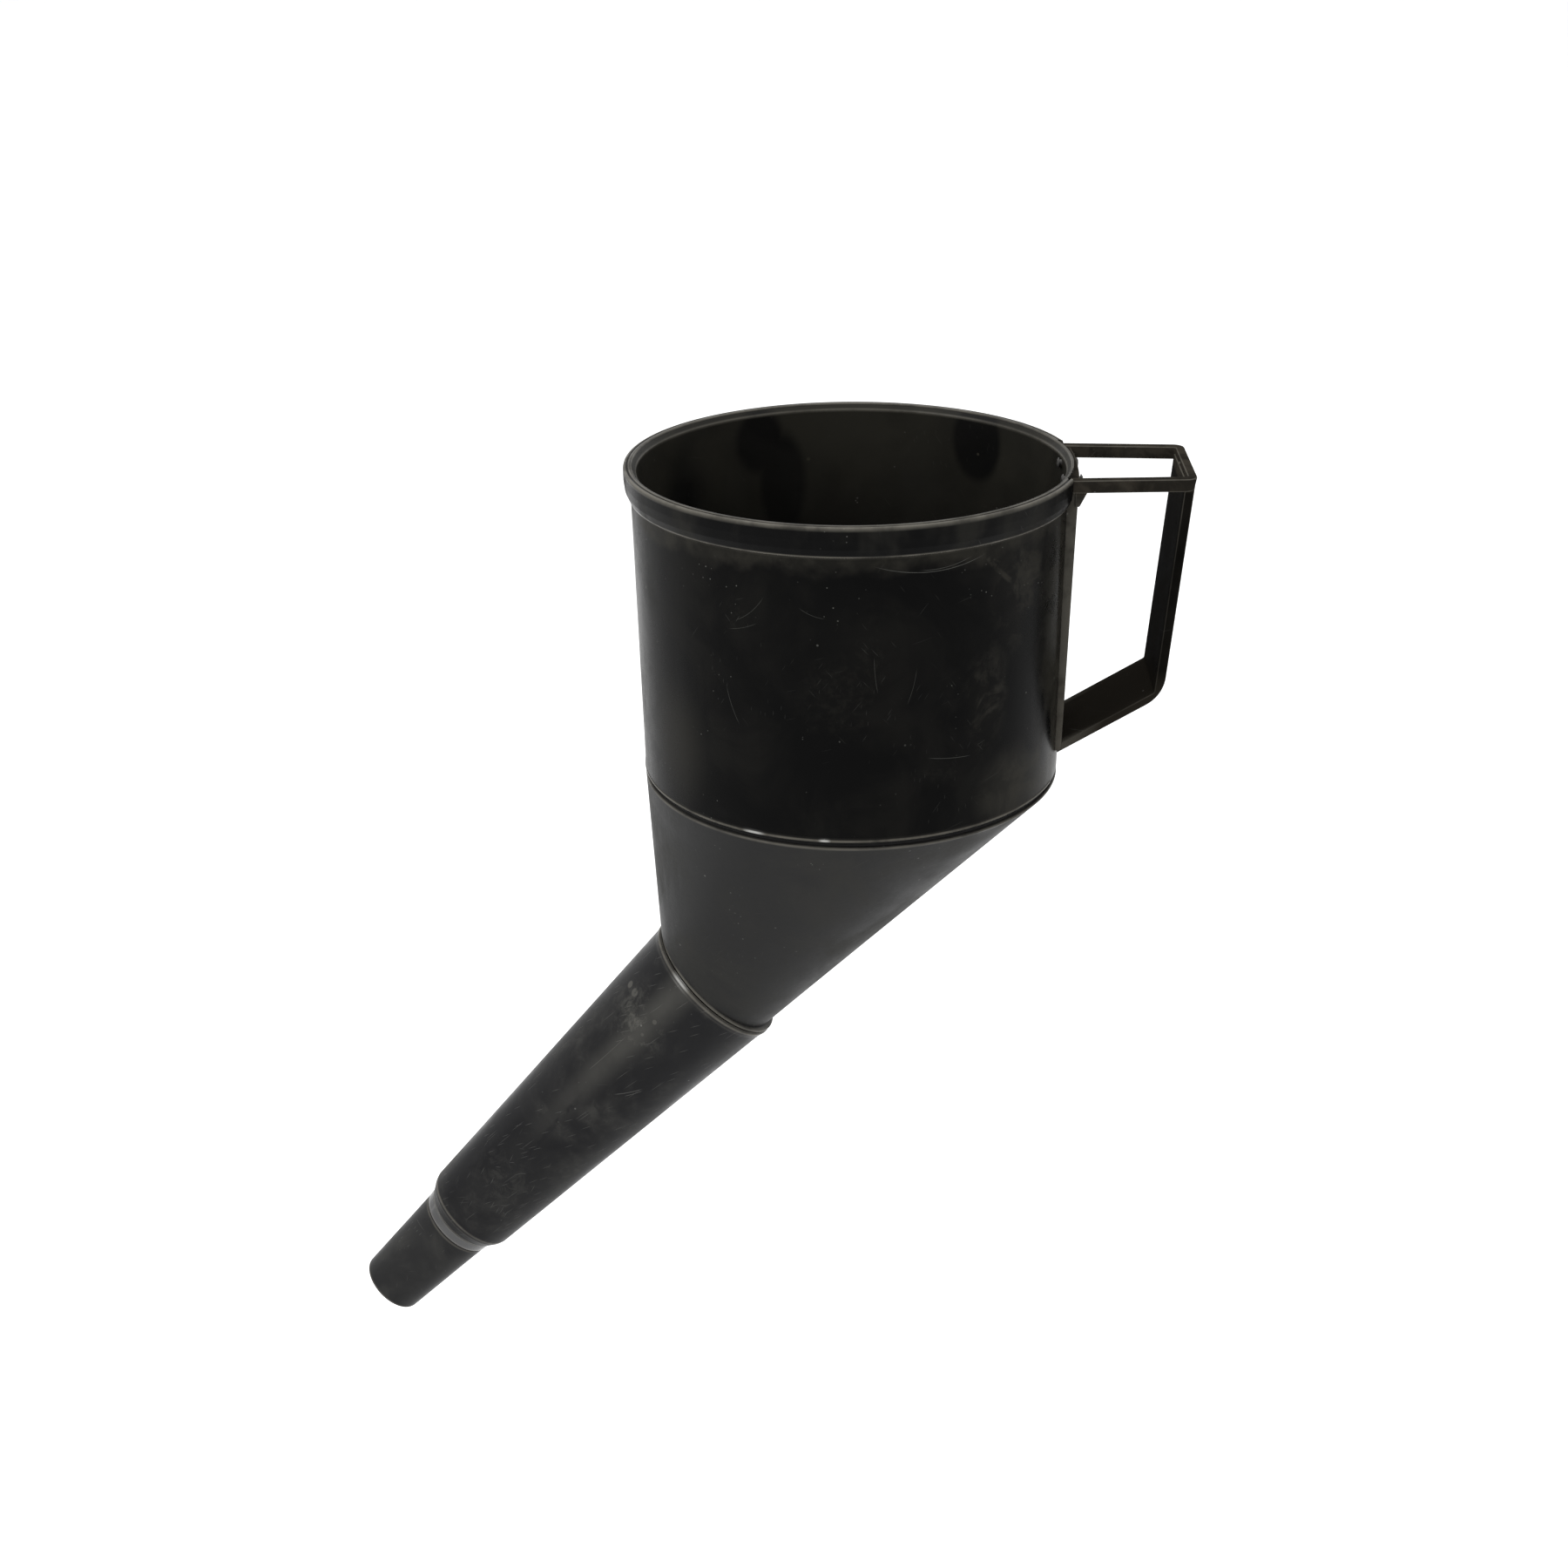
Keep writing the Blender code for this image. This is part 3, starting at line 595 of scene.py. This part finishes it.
# --------------------------------------------------------------------- bowl
WALL_TOP, WALL_BOTTOM = 77.66, 75.9     # outer radius under the band and at the seam
WALL_MEAN = 77
BAND_H, BOWL_H = 10.8, 113.45
GATE = 24.45                            # half width of the gap in the rim band
BAND_COLUMNS, GATE_COLUMNS = 264, 26
OUTSIDE, ON_BAND, WITHIN = 0, 1, 2      # the bowl's material slots


def wall_r(z):
    return WALL_TOP + (WALL_BOTTOM - WALL_TOP) * (-z - BAND_H) / (BOWL_H - BAND_H)


def make_bowl():
    band = [(77.25, 0, 0.25, 1.0), (78.15, 0, 0.2, 0.9), (78.45, -0.38, 0.1, 0),
            (78.85, -0.38, 0.1, 0), (79.15, -0.05, 0.15, 0.9), (79.75, -0.25, 0.2, 1.0),
            (80.0, -0.95, 0.25, 0.5), (80.0, -4.6, 1.5, 0), (79.62, -7.8, 1.5, 0),
            (78.35, -10.75, 0.22, 1.0), (wall_r(-11.05), -11.05, 0.12, 0.25)]
    wall = [(wall_r(-111.2), -111.2, 0, 0), (wall_r(-112.3) + 0.02, -112.3, 0.1, 0.1),
            (76.15, -112.65, 0.15, 1.0), (76.15, -113.15, 0.25, 1.0),
            (75.85, -113.45, 0.15, 0.3), (73.9, -113.45, 0.2, 0), (75.4, -2.2, 0.5, 0.8)]
    banded = rounded(band + wall)
    # between the handle's arms the wall runs straight up: the same points, no band
    plain = []
    for r, z, w in banded:
        edge_wear = 0.8 if z > -0.6 else 0.0
        plain.append((min(r, wall_r(z)), z, w if r <= wall_r(z) + 0.01 else edge_wear))
    cols = []
    for i in range(BAND_COLUMNS + 1):
        f = i / BAND_COLUMNS
        cols.append([(r, asin(GATE / r) + (2 * pi - 2 * asin(GATE / r)) * f, z, w)
                     for r, z, w in banded])
    for i in range(GATE_COLUMNS + 1):
        f = i / GATE_COLUMNS
        cols.append([(r, -asin(GATE / r) + 2 * asin(GATE / r) * f, z, w) for r, z, w in plain])
    verts, wear, flat = [], [], []
    for k, c in enumerate(cols):
        turn_on = 2 * pi if k > BAND_COLUMNS else 0
        for r, a, z, w in c:
            verts.append(world((r * cos(a), r * sin(a), z)))
            wear.append(w)
            flat.append((WALL_MEAN * (a - 2 * pi * FRONT + turn_on), z))
    m, n = len(cols), len(banded)
    faces, mat = [], []
    for a in range(m):
        b = (a + 1) % m
        for i in range(n):
            j = (i + 1) % n
            faces.append((a * n + i, a * n + j, b * n + j, b * n + i))
            r, z = (banded[i][0] + banded[j][0]) / 2, (banded[i][1] + banded[j][1]) / 2
            if r < 76.6 and z > -113.3 and r < wall_r(z) - 0.8:
                mat.append(WITHIN)
            elif z > -10.95 and a <= BAND_COLUMNS:
                mat.append(ON_BAND)
            else:
                mat.append(OUTSIDE)
    make("bowl_shell", verts, faces, wear, replaces=("bowl",), slot="bowl_black",
         mats=(BOWL, BAND, INSIDE), face_mat=mat, flat=flat)


def make_seam_seal():
    profile = [(74.7, -113.72, 0.2, 0), (74.7, -115.35, 0.2, 0), (73.85, -115.35, 0, 0),
               (73.85, -113.72, 0, 0)]
    turned("seam_seal_ring", profile, world, 200, replaces=("seam_seal",),
           slot="seal_rubber", mats=(RUBBER,))


# --------------------------------------------------------------------- cone
DIP = radians(46.66)                    # the spout's axis below the level
AXIS = Vector((-cos(DIP), 0, -sin(DIP)))
ACROSS = Vector((-AXIS.z, 0, AXIS.x))
LIP = Vector((-52.47, 0, -207.07))      # centre of the spout tube's lip
SPOUT_R0, SPOUT_R1, SPOUT_LEN = 28.5, 19.2, 148.0
CONE_R, CONE_COLUMNS = 75, 220


def along(p):
    """Point of the spout's own frame (x and y across, z back up the axis) in the world."""
    return world(LIP + ACROSS * p[0] + Vector((0, p[1], 0)) - AXIS * p[2])


def spout_r(s):
    """Outer radius of the spout tube, s down the axis from its lip."""
    return SPOUT_R0 + (SPOUT_R1 - SPOUT_R0) * s / SPOUT_LEN


def plug_r(s):
    """Outer radius of the cone's plug inside the spout tube."""
    return SPOUT_R0 - 2.3 + (SPOUT_R1 - SPOUT_R0) * s / SPOUT_LEN


def make_cone():
    n = CONE_COLUMNS

    def level(r, z, cx=0.0):
        return [world((cx + r * cos(2 * pi * i / n), r * sin(2 * pi * i / n), z))
                for i in range(n)]

    def neck(s, r, shift=0.0):
        return [along((r * cos(2 * pi * i / n) - shift, r * sin(2 * pi * i / n), -s))
                for i in range(n)]

    def between(a, b, f):
        return [p.lerp(q, f) for p, q in zip(a, b)]

    # rows of (points, wear): plug in the bowl, step at the seam, slanting wall, bead at
    # the neck, plug in the spout with its seal's groove, and back up the inner wall
    top, end = level(75.9, -116.05), neck(-2.3, 28.3, 1.7)
    rows = [(level(73.55, -104), 0), (level(73.55, -115.3), 0), (level(73.9, -115.58), 0),
            (level(75.3, -115.6), 0.3), (level(75.62, -115.65), 0.9),
            (level(75.83, -115.82), 0.9), (top, 0.8)]
    rows += [(between(top, end, f), 0)
             for f in (0.008, 0.1, 0.2, 0.3, 0.4, 0.5, 0.6, 0.7, 0.8, 0.9, 0.97)]
    rows += [(end, 0), (neck(-2.12, 28.35, 0.3), 0.7), (neck(-1.95, 28.6), 1.0),
             (neck(-1.7, 28.72), 1.0), (neck(-1.4, 28.72), 1.0), (neck(-1.18, 28.6), 0.8),
             (neck(-1.05, 28.3), 0.2), (neck(-0.95, 27.0), 0), (neck(-0.9, plug_r(-0.9)), 0)]
    rows += [(neck(10, plug_r(10)), 0), (neck(10.2, plug_r(10) - 1.1), 0),
             (neck(12.4, plug_r(12.4) - 1.0), 0), (neck(12.6, plug_r(12.6)), 0),
             (neck(21, plug_r(21)), 0), (neck(22, plug_r(22) - 0.8), 0),
             (neck(22, plug_r(22) - 2.2), 0), (neck(1, plug_r(0) - 2.2), 0)]
    a, b = neck(-2.8, plug_r(0) - 1.9, 0.8), level(71.8, -118, -1.2)
    rows += [(between(a, b, f), 0) for f in (0, 0.25, 0.5, 0.75, 1)] + [(level(71.7, -104), 0)]
    verts, faces = skin([r for r, w in rows])
    wear = [w for r, w in rows for i in range(n)]
    flat = [(CONE_R * 2 * pi * (i / n - FRONT), (r[i].z - RIM.z) / MM)
            for r, w in rows for i in range(n)]
    make("cone_shell", verts, faces, wear, flat=flat, replaces=("cone",), slot="cone_grey",
         mats=(CONE,))


# ------------------------------------------------------------ spout, nozzle
# Profiles here are (radius, distance down the axis from the spout's lip, corner, wear).
NOZZLE_TOP, NOZZLE_END = 153.7, 201.0
COLLAR_W = 4.3
COLLAR_END = NOZZLE_TOP + COLLAR_W
SOCKET_R = 16.1                         # bore that takes the nozzle's plug


def down(profile):
    return [(r, -s, corner, wear) for r, s, corner, wear in profile]


def nozzle_r(s):
    return 15.75 + (13.0 - 15.75) * (s - NOZZLE_TOP) / (NOZZLE_END - NOZZLE_TOP)


def make_spout():
    end = SPOUT_LEN + 5.4
    profile = [(27.1, -0.5, 0.15, 0.2), (28.55, -0.5, 0.35, 1.0), (29.0, 0.35, 0.4, 1.0),
               (28.62, 1.9, 0.8, 0.2), (spout_r(3.2), 3.2, 0, 0), (spout_r(50), 50, 0, 0),
               (spout_r(100), 100, 0, 0), (SPOUT_R1, SPOUT_LEN, 0.5, 0.8),
               (18.7, SPOUT_LEN + 1.5, 0.8, 0.2), (17.35, SPOUT_LEN + 3.9, 0.8, 0),
               (16.6, end, 0.3, 0.6), (SOCKET_R, end, 0, 0), (SOCKET_R, end - 20, 0, 0),
               (spout_r(end - 22) - 2, end - 22, 0, 0), (26.5, 0.2, 0.2, 0)]
    turned("spout_tube_shell", down(profile), along, 176, body="spout",
           replaces=("spout_tube",), slot="spout_grey", mats=(SPOUT,))


def make_nozzle():
    top, low, end = NOZZLE_TOP, COLLAR_END, NOZZLE_END
    profile = [(15.2, top - 17, 0.2, 0), (15.8, top - 16, 0.2, 0), (15.8, top - 0.5, 0, 0),
               (14.7, top - 0.3, 0, 0), (14.7, low + 0.15, 0, 0),
               (nozzle_r(low) - 0.25, low + 0.25, 0.1, 0), (nozzle_r(low), low + 0.75, 0.3, 0.7),
               (nozzle_r(low + 14), low + 14, 0, 0), (nozzle_r(low + 28), low + 28, 0, 0),
               (13.0, end - 0.2, 0.5, 0.9), (12.2, end, 0.35, 0.6), (11.3, end, 0.35, 0.6),
               (11.2, end - 1.2, 0, 0), (12.9, low, 0, 0), (12.9, top - 17, 0, 0)]
    turned("nozzle_shell", down(profile), along, 144, body="nozzle", replaces=("nozzle",),
           slot="nozzle_grey", mats=(NOZZLE,))
    collar = [(nozzle_r(top) + 0.22, top + 0.1, 0.35, 0.6),
              (nozzle_r(top + 2) + 0.26, top + 2.1, 0, 0),
              (nozzle_r(low) + 0.22, low - 0.1, 0.35, 0.8), (15.0, low - 0.1, 0, 0),
              (15.0, top + 0.1, 0, 0)]
    turned("nozzle_collar_band", down(collar), along, 144, body="nozzle",
           replaces=("nozzle_collar",), slot="collar_gloss", mats=(COLLAR,))


def make_ring(name, node, body, r, s, section, n):
    """Rubber ring of a round section round the spout's axis."""
    sides = 14
    profile = [(r + section * cos(2 * pi * i / sides), -s - section * sin(2 * pi * i / sides), 0, 0)
               for i in range(sides)]
    turned(name, profile, along, n, body=body, replaces=(node,), slot="seal_rubber",
           mats=(RUBBER,))


# ------------------------------------------------------------------- handle
HANDLE_END = 118.8                      # outer face of the end bar
BAR_T, ARM_T = 3.2, 3.8
ARM_ROOT, ARM_BEND = 76, 100            # where the arms leave the wall and start to bend
ARM_Y0, ARM_Y1 = 24.15, 22.1            # arms' outer faces at the root and at the end
FRAME_TOP, FRAME_BOTTOM = -1.0, -5.5
END_LEAN = 0.9                          # the end bar's outer face leans in below
STRAP_X, STRAP_LEAN = 118.756, 0.086    # the strap's outer face at the rim, and its lean
STRAP_T, STRAP_W = 3.4, 36.0
LOW_SLOPE, LOW_END, LOW_KNEE = 0.602, 76, 98.6
LOW_FOOT = -90.0                        # the lower arm's outer face under LOW_KNEE
LOW_T = 2.77 / cos(0.542)               # the lower arm's thickness, measured upright
BEND_R, BEND_INNER_R = 13.5, 1.2
PLATE_TOP, PLATE_BOTTOM = -1.6, -103.6
PLATE_W0, PLATE_W1 = 46.0, 36.0
PIP_X, PIP_Y, PIP_Z = HANDLE_END - BAR_T, 3.4, -2.9
PIP_R, PIP_H = 1.0, 0.75
RIVET_Y, RIVET_Z = 10.5, -4.6


def top_frame():
    """Two arms and the end bar: one level frame, open towards the bowl."""
    def arm_y(x):
        return ARM_Y0 + (ARM_Y1 - ARM_Y0) / (HANDLE_END - ARM_ROOT) * (x - ARM_ROOT)

    def lean(x):
        return x - END_LEAN * max(0.0, (x - ARM_BEND) / (HANDLE_END - ARM_BEND)) ** 3

    def half(roots, inset, end, bend_r):
        """Line of one face from the wall to the middle of the end bar."""
        line = [Vector((x, -arm_y(x) + inset)) for x in roots]
        line += arc((ARM_BEND, -arm_y(ARM_BEND) + inset), (end, -ARM_Y1 + inset), (end, 0),
                    bend_r, 8)
        return line + [Vector((end, -9)), Vector((end, 0))]

    outer = half((74.25, 85, ARM_BEND), 0, HANDLE_END, 4.0)
    inner = half((75.4, 85, ARM_BEND), ARM_T, HANDLE_END - BAR_T, 0.9)
    outer += [Vector((p.x, -p.y)) for p in reversed(outer[:-1])]
    inner += [Vector((p.x, -p.y)) for p in reversed(inner[:-1])]
    pairs = list(zip(outer, inner))
    above = [[world((p.x, p.y, FRAME_TOP)), world((q.x, q.y, FRAME_TOP))] for p, q in pairs]
    below = [[world((lean(p.x), p.y, FRAME_BOTTOM)), world((q.x, q.y, FRAME_BOTTOM))]
             for p, q in pairs]
    return grid_solid(above, below)


def strap():
    """Grip strap, bend and lower arm in one flat band."""
    def face(foot, inset):
        """The strap's line at x less inset, and the lower arm's line through foot."""
        def x_at(z):
            return STRAP_X + STRAP_LEAN * z - inset
        z = (foot + LOW_SLOPE * (STRAP_X - inset - LOW_KNEE)) / (1 - LOW_SLOPE * STRAP_LEAN)
        end = (LOW_END, foot + LOW_SLOPE * (LOW_END - LOW_KNEE))
        line = [Vector((x_at(h), h)) for h in (-3.2, -20, -40, -60)]
        bend = arc((x_at(-3), -3), (x_at(z), z), end, BEND_INNER_R if inset else BEND_R, 10)
        return line + bend, end

    cols = 9
    across = [-STRAP_W / 2 + STRAP_W * c / (cols - 1) for c in range(cols)]
    faces = [face(LOW_FOOT, 0), face(LOW_FOOT + LOW_T, STRAP_T)]
    grids = []
    for path, end in faces:
        grid = [[world((p.x, y, p.y)) for y in across] for p in path]
        last = path[-1]
        for f in (0.5, 1.0):            # the lower arm ends on the round wall
            row = []
            for y in across:
                wall = sqrt((wall_r(-100) + 0.55) ** 2 - y * y)
                x = last.x + (wall - last.x) * f
                row.append(world((x, y, end[1] + LOW_SLOPE * (x - end[0]))))
            grid.append(row)
        grids.append(grid)
    return grid_solid(*grids)


def foot_plate():
    """Plate on the wall, crowned and narrowing downwards."""
    rows, cols = 16, 17
    outer, inner = [], []
    for a in range(rows + 1):
        z = PLATE_TOP + (PLATE_BOTTOM - PLATE_TOP) * a / rows
        w = PLATE_W0 + (PLATE_W1 - PLATE_W0) * a / rows
        edge = 78.2 + (76.05 - 78.2) * a / rows
        across = [w / 2 * (c / 8 - 1) for c in range(cols)]
        seat = wall_r(min(z, -2)) - 0.2
        outer.append([world((edge + 1.2 * (1 - (2 * y / w) ** 2), y, z)) for y in across])
        inner.append([world((sqrt(seat ** 2 - y * y), y, z)) for y in across])
    return grid_solid(outer, inner)


def web(side):
    """Small web in the corner under an arm's root."""
    outline = [(77.0, -5.3), (81.2, -5.3), (78.6, -10.5), (77.0, -10.5)]
    verts = [world((x, y, z)) for y in (side * 23.6, side * 20.6) for x, z in outline]
    faces = [(0, 1, 2, 3), (7, 6, 5, 4)]
    faces += [(i, 4 + i, 4 + (i + 1) % 4, (i + 1) % 4) for i in range(4)]
    return verts, faces


def pip():
    """Moulding pip on the end bar's inner face: a low dome."""
    n = 14
    verts = [world((PIP_X - PIP_H, PIP_Y, PIP_Z + 0.3))]
    for a in (0.5, 1.0, 1.57):
        r, h = PIP_R * sin(a), PIP_H * cos(a)
        verts += [world((PIP_X + 0.1 - h, PIP_Y + r * cos(2 * pi * i / n),
                         PIP_Z + r * sin(2 * pi * i / n))) for i in range(n)]
    faces = [(0, 1 + i, 1 + (i + 1) % n) for i in range(n)]
    faces += [(1 + n * a + i, 1 + n * (a + 1) + i, 1 + n * (a + 1) + (i + 1) % n,
               1 + n * a + (i + 1) % n) for a in (0, 1) for i in range(n)]
    faces.append(tuple(1 + 2 * n + i for i in range(n)))
    return verts, faces


def make_handle():
    verts, faces = [], []
    for part, part_faces in (top_frame(), strap(), foot_plate(), web(-1), web(1), pip()):
        o = len(verts)
        verts += part
        faces += [tuple(i + o for i in face) for face in part_faces]
    ob = make("handle_moulding", verts, faces, None, replaces=("handle",),
              slot="handle_black", mats=(HANDLE,))
    me = ob.data
    # soft moulded edges; the bevelled strips carry the wear
    bm = bmesh.new()
    bm.from_mesh(me)
    wear = bm.verts.layers.float.new("wear")
    bm.normal_update()
    edges = [e for e in bm.edges
             if len(e.link_faces) == 2 and e.calc_face_angle(0) > radians(35)]
    res = bmesh.ops.bevel(bm, geom=edges, offset=0.55 * MM, offset_type="OFFSET", segments=3,
                          profile=0.5, affect="EDGES", clamp_overlap=True)
    strips = set(res["faces"])
    for v in {v for f in strips for v in f.verts}:
        v[wear] = 1.0 if all(f in strips for f in v.link_faces) else 0.1
    for v in bm.verts:
        p = (v.co - RIM) / MM
        fall = (PLATE_TOP - p.z) / (PLATE_TOP - PLATE_BOTTOM)
        plate_edge = (PLATE_W0 - (PLATE_W0 - PLATE_W1) * fall) / 2
        if p.x > 83 and p.z < -6:
            v[wear] *= 0.4              # the strap is handled: cleaner edges
        if p.x < 80.2 and p.z < -6 and abs(p.y) > plate_edge - 1.2:
            v[wear] = 1.0               # the foot plate's long edges are dusty
        # the moulding pip gets full wear: its light dust colour stands for a glint, so it is a
        # painted highlight
        if (p - Vector((PIP_X, PIP_Y, PIP_Z))).length < 1.3:
            v[wear] = 1.0
    bm.to_mesh(me)
    bm.free()
    me.shade_smooth()
    me.set_sharp_from_angle(angle=radians(40))


def make_rivets():
    out, within = 79.65, sqrt(75.3 ** 2 - 13.0 ** 2) - 0.3
    profile = [(0.05, out + 0.95, 0, 0), (1.3, out + 0.8, 0.4, 0), (2.3, out + 0.1, 0.15, 0),
               (1.3, out, 0, 0), (1.3, within, 0, 0), (2.3, within - 0.1, 0.15, 0),
               (1.3, within - 0.8, 0.4, 0), (0.05, within - 1.0, 0, 0)]
    for side, name in ((-1, "rivet_near"), (1, "rivet_far")):
        def place(p, side=side):
            return world((p[2], side * RIVET_Y + p[0], RIVET_Z + p[1]))
        turned(name + "_head", profile, place, 28, replaces=(name,), slot="rivet_steel",
               mats=(DULL,))


# ----------------------------------------------------------------- strainer
LEDGE = -104                            # top of the cone's plug, where the strainer rests
PITCH, WIRE_R, WAVE = 2.5, 0.2, 0.16    # of the woven gauze
GAUZE_R, GAUZE_Z = 72.2, 2.35
LOOP_X, LOOP_R, LOOP_WIRE_R = -70.2, 10, 1.1


def lift(p):
    return world((p[0], p[1], LEDGE + p[2]))


def make_strainer_rings():
    looks = dict(body="strainer", slot="strainer_brass", mats=(BRASS,))
    turned("strainer_frame_ring",
           [(73.2, 1.8, 0.3, 0), (73.2, 0.3, 0.2, 0), (71.2, 0.3, 0, 0), (71.2, -4.3, 0.4, 0),
            (69.2, -4.3, 0.4, 0), (69.2, 1.8, 0.2, 0)],
           lift, 144, replaces=("strainer_frame",), **looks)
    turned("strainer_clamp_band",
           [(73.2, 4.4, 0.4, 0), (73.2, 2.9, 0.2, 0), (69.2, 2.9, 0.2, 0), (69.2, 4.4, 0.5, 0)],
           lift, 144, replaces=("strainer_clamp_ring",), **looks)


def make_gauze():
    """Two sets of square wires, waved over and under each other."""
    verts, faces = [], []
    count = int(GAUZE_R / PITCH)
    for axis in (0, 1):
        for i in range(-count, count + 1):
            c = (i + 0.5) * PITCH
            if abs(c) > GAUZE_R - 1:
                continue
            half = sqrt(GAUZE_R * GAUZE_R - c * c)
            steps = int(2 * half / (PITCH / 2))
            base = len(verts)
            over = 1 if (i + axis) % 2 else -1
            for k in range(steps + 1):
                t = -half + 2 * half * k / steps
                z = GAUZE_Z + WAVE * over * cos(pi * (t / PITCH - 0.5)) * (1 if axis else -1)
                for q in range(4):
                    a = pi / 4 + q * pi / 2
                    u, w = WIRE_R * cos(a), WIRE_R * sin(a)
                    verts.append(lift((c + u, t, z + w) if axis else (t, c + u, z + w)))
            for k in range(steps):
                for q in range(4):
                    j = (q + 1) % 4
                    faces.append((base + 4 * k + q, base + 4 * k + j, base + 4 * k + 4 + j,
                                  base + 4 * k + 4 + q))
            faces.append(tuple(base + q for q in (3, 2, 1, 0)))
            faces.append(tuple(base + 4 * steps + q for q in range(4)))
    make("strainer_gauze_weave", verts, faces, None, body="strainer",
         replaces=("strainer_gauze",), slot="gauze_brass", mats=(GAUZE,), sharp=60)


def make_pull_loop():
    """Bent wire that lifts the strainer out."""
    foot = [(11.5, 4.9), (11.3, 5.6), (10.3, 9), (10, 11)]
    path = [(-y, z) for y, z in foot]
    path += [(-LOOP_R * cos(pi * i / 16), 10 + LOOP_R * sin(pi * i / 16)) for i in range(17)]
    path += foot[::-1]
    pts = [Vector((LOOP_X, y, z)) for y, z in path]
    n = 14
    rows = []
    for i, p in enumerate(pts):
        t = (pts[min(i + 1, len(pts) - 1)] - pts[max(i - 1, 0)]).normalized()
        u = Vector((1, 0, 0))
        v = t.cross(u)
        rows.append([lift(p + u * cos(2 * pi * q / n) * LOOP_WIRE_R
                          + v * sin(2 * pi * q / n) * LOOP_WIRE_R) for q in range(n)])
    verts, faces = skin(rows, close=False)
    faces += [tuple(range(n)), tuple(range((len(rows) - 1) * n, len(rows) * n))]
    make("strainer_pull_wire", verts, faces, None, body="strainer",
         replaces=("strainer_pull_loop",), slot="rivet_steel", mats=(STEEL,))


make_bowl()
make_cone()
make_seam_seal()
make_handle()
make_rivets()
make_spout()
make_nozzle()
make_ring("neck_seal_ring", "neck_seal", "funnel", plug_r(11.3) - 0.4, 11.3, 0.6, 120)
make_ring("nozzle_seal_ring", "nozzle_seal", "nozzle", 15.4, NOZZLE_TOP - 7.8, 0.55, 96)
make_strainer_rings()
make_gauze()
make_pull_loop()


# -------------------------------------------------------- floor, light, view
FLOOR_GAP = 0.090                       # m: clear of the nozzle when it is drawn right out
FLOOR_HALF = 12.0


def make_floor():
    bm = bmesh.new()
    bmesh.ops.create_grid(bm, x_segments=1, y_segments=1, size=FLOOR_HALF)
    me = bpy.data.meshes.new("floor")
    bm.to_mesh(me)
    bm.free()
    floor = bpy.data.objects.new("floor", me)
    bpy.context.scene.collection.objects.link(floor)
    floor.location = (0, 0, cad_box[0][2] - FLOOR_GAP)
    fm = bpy.data.materials.new("pale_floor")
    fm.use_nodes = True
    shader = fm.node_tree.nodes["Principled BSDF"]
    shader.inputs["Base Color"].default_value = (0.93, 0.93, 0.93, 1)
    shader.inputs["Roughness"].default_value = 0.9
    shader.inputs["Specular IOR Level"].default_value = 0.1
    me.materials.append(fm)


def area(name, at, aim, width, height, power):
    """Rectangular lamp, in metres and watts, that the camera does not see."""
    li = bpy.data.lights.new(name, "AREA")
    li.shape = "RECTANGLE"
    li.size = width
    li.size_y = height
    li.energy = power
    ob = bpy.data.objects.new(name, li)
    bpy.context.scene.collection.objects.link(ob)
    ob.location = at
    ob.rotation_euler = (Vector(aim) - Vector(at)).to_track_quat("-Z", "Y").to_euler()
    ob.visible_camera = False


def make_world(strength):
    w = bpy.data.worlds.new("studio")
    w.use_nodes = True
    w.node_tree.nodes["Background"].inputs[0].default_value = (1, 1, 1, 1)
    w.node_tree.nodes["Background"].inputs[1].default_value = strength
    bpy.context.scene.world = w
    bpy.context.scene.view_settings.view_transform = "Standard"


def make_camera(place, turn, down_by, roll, lens):
    """Camera in front of the bowl, turned to its right, looking down by an angle."""
    forward = Vector((-sin(turn) * cos(down_by), cos(turn) * cos(down_by), -sin(down_by)))
    right = Vector((cos(turn), sin(turn), 0))
    up = right.cross(forward)
    right, up = right * cos(roll) + up * sin(roll), up * cos(roll) - right * sin(roll)
    cam = bpy.data.cameras.new("photo_view")
    cam.sensor_width = 36
    cam.lens = lens
    ob = bpy.data.objects.new("photo_view", cam)
    bpy.context.scene.collection.objects.link(ob)
    matrix = Matrix((right, up, -forward)).transposed().to_4x4()
    matrix.translation = world(place)
    ob.matrix_world = matrix
    bpy.context.scene.camera = ob


make_floor()
middle = Vector((-0.12, 0, -0.10))
area("key_left", (-1.5, -0.9, 1.3), middle, 0.9, 1.1, 5)
area("key_core", (-1.45, -0.85, 1.35), middle, 0.12, 0.12, 13)
area("overhead", (-0.1, 0.3, 2.4), middle, 2.6, 2.6, 36)
area("strip_left", (-0.62, 0.06, -0.02), (-0.1, 0.0, -0.05), 0.035, 0.5, 0.06)
make_world(1.08)
make_camera((9.31, -783.23, 222.94), radians(2.5), radians(23.946), radians(-0.706), 52.68)
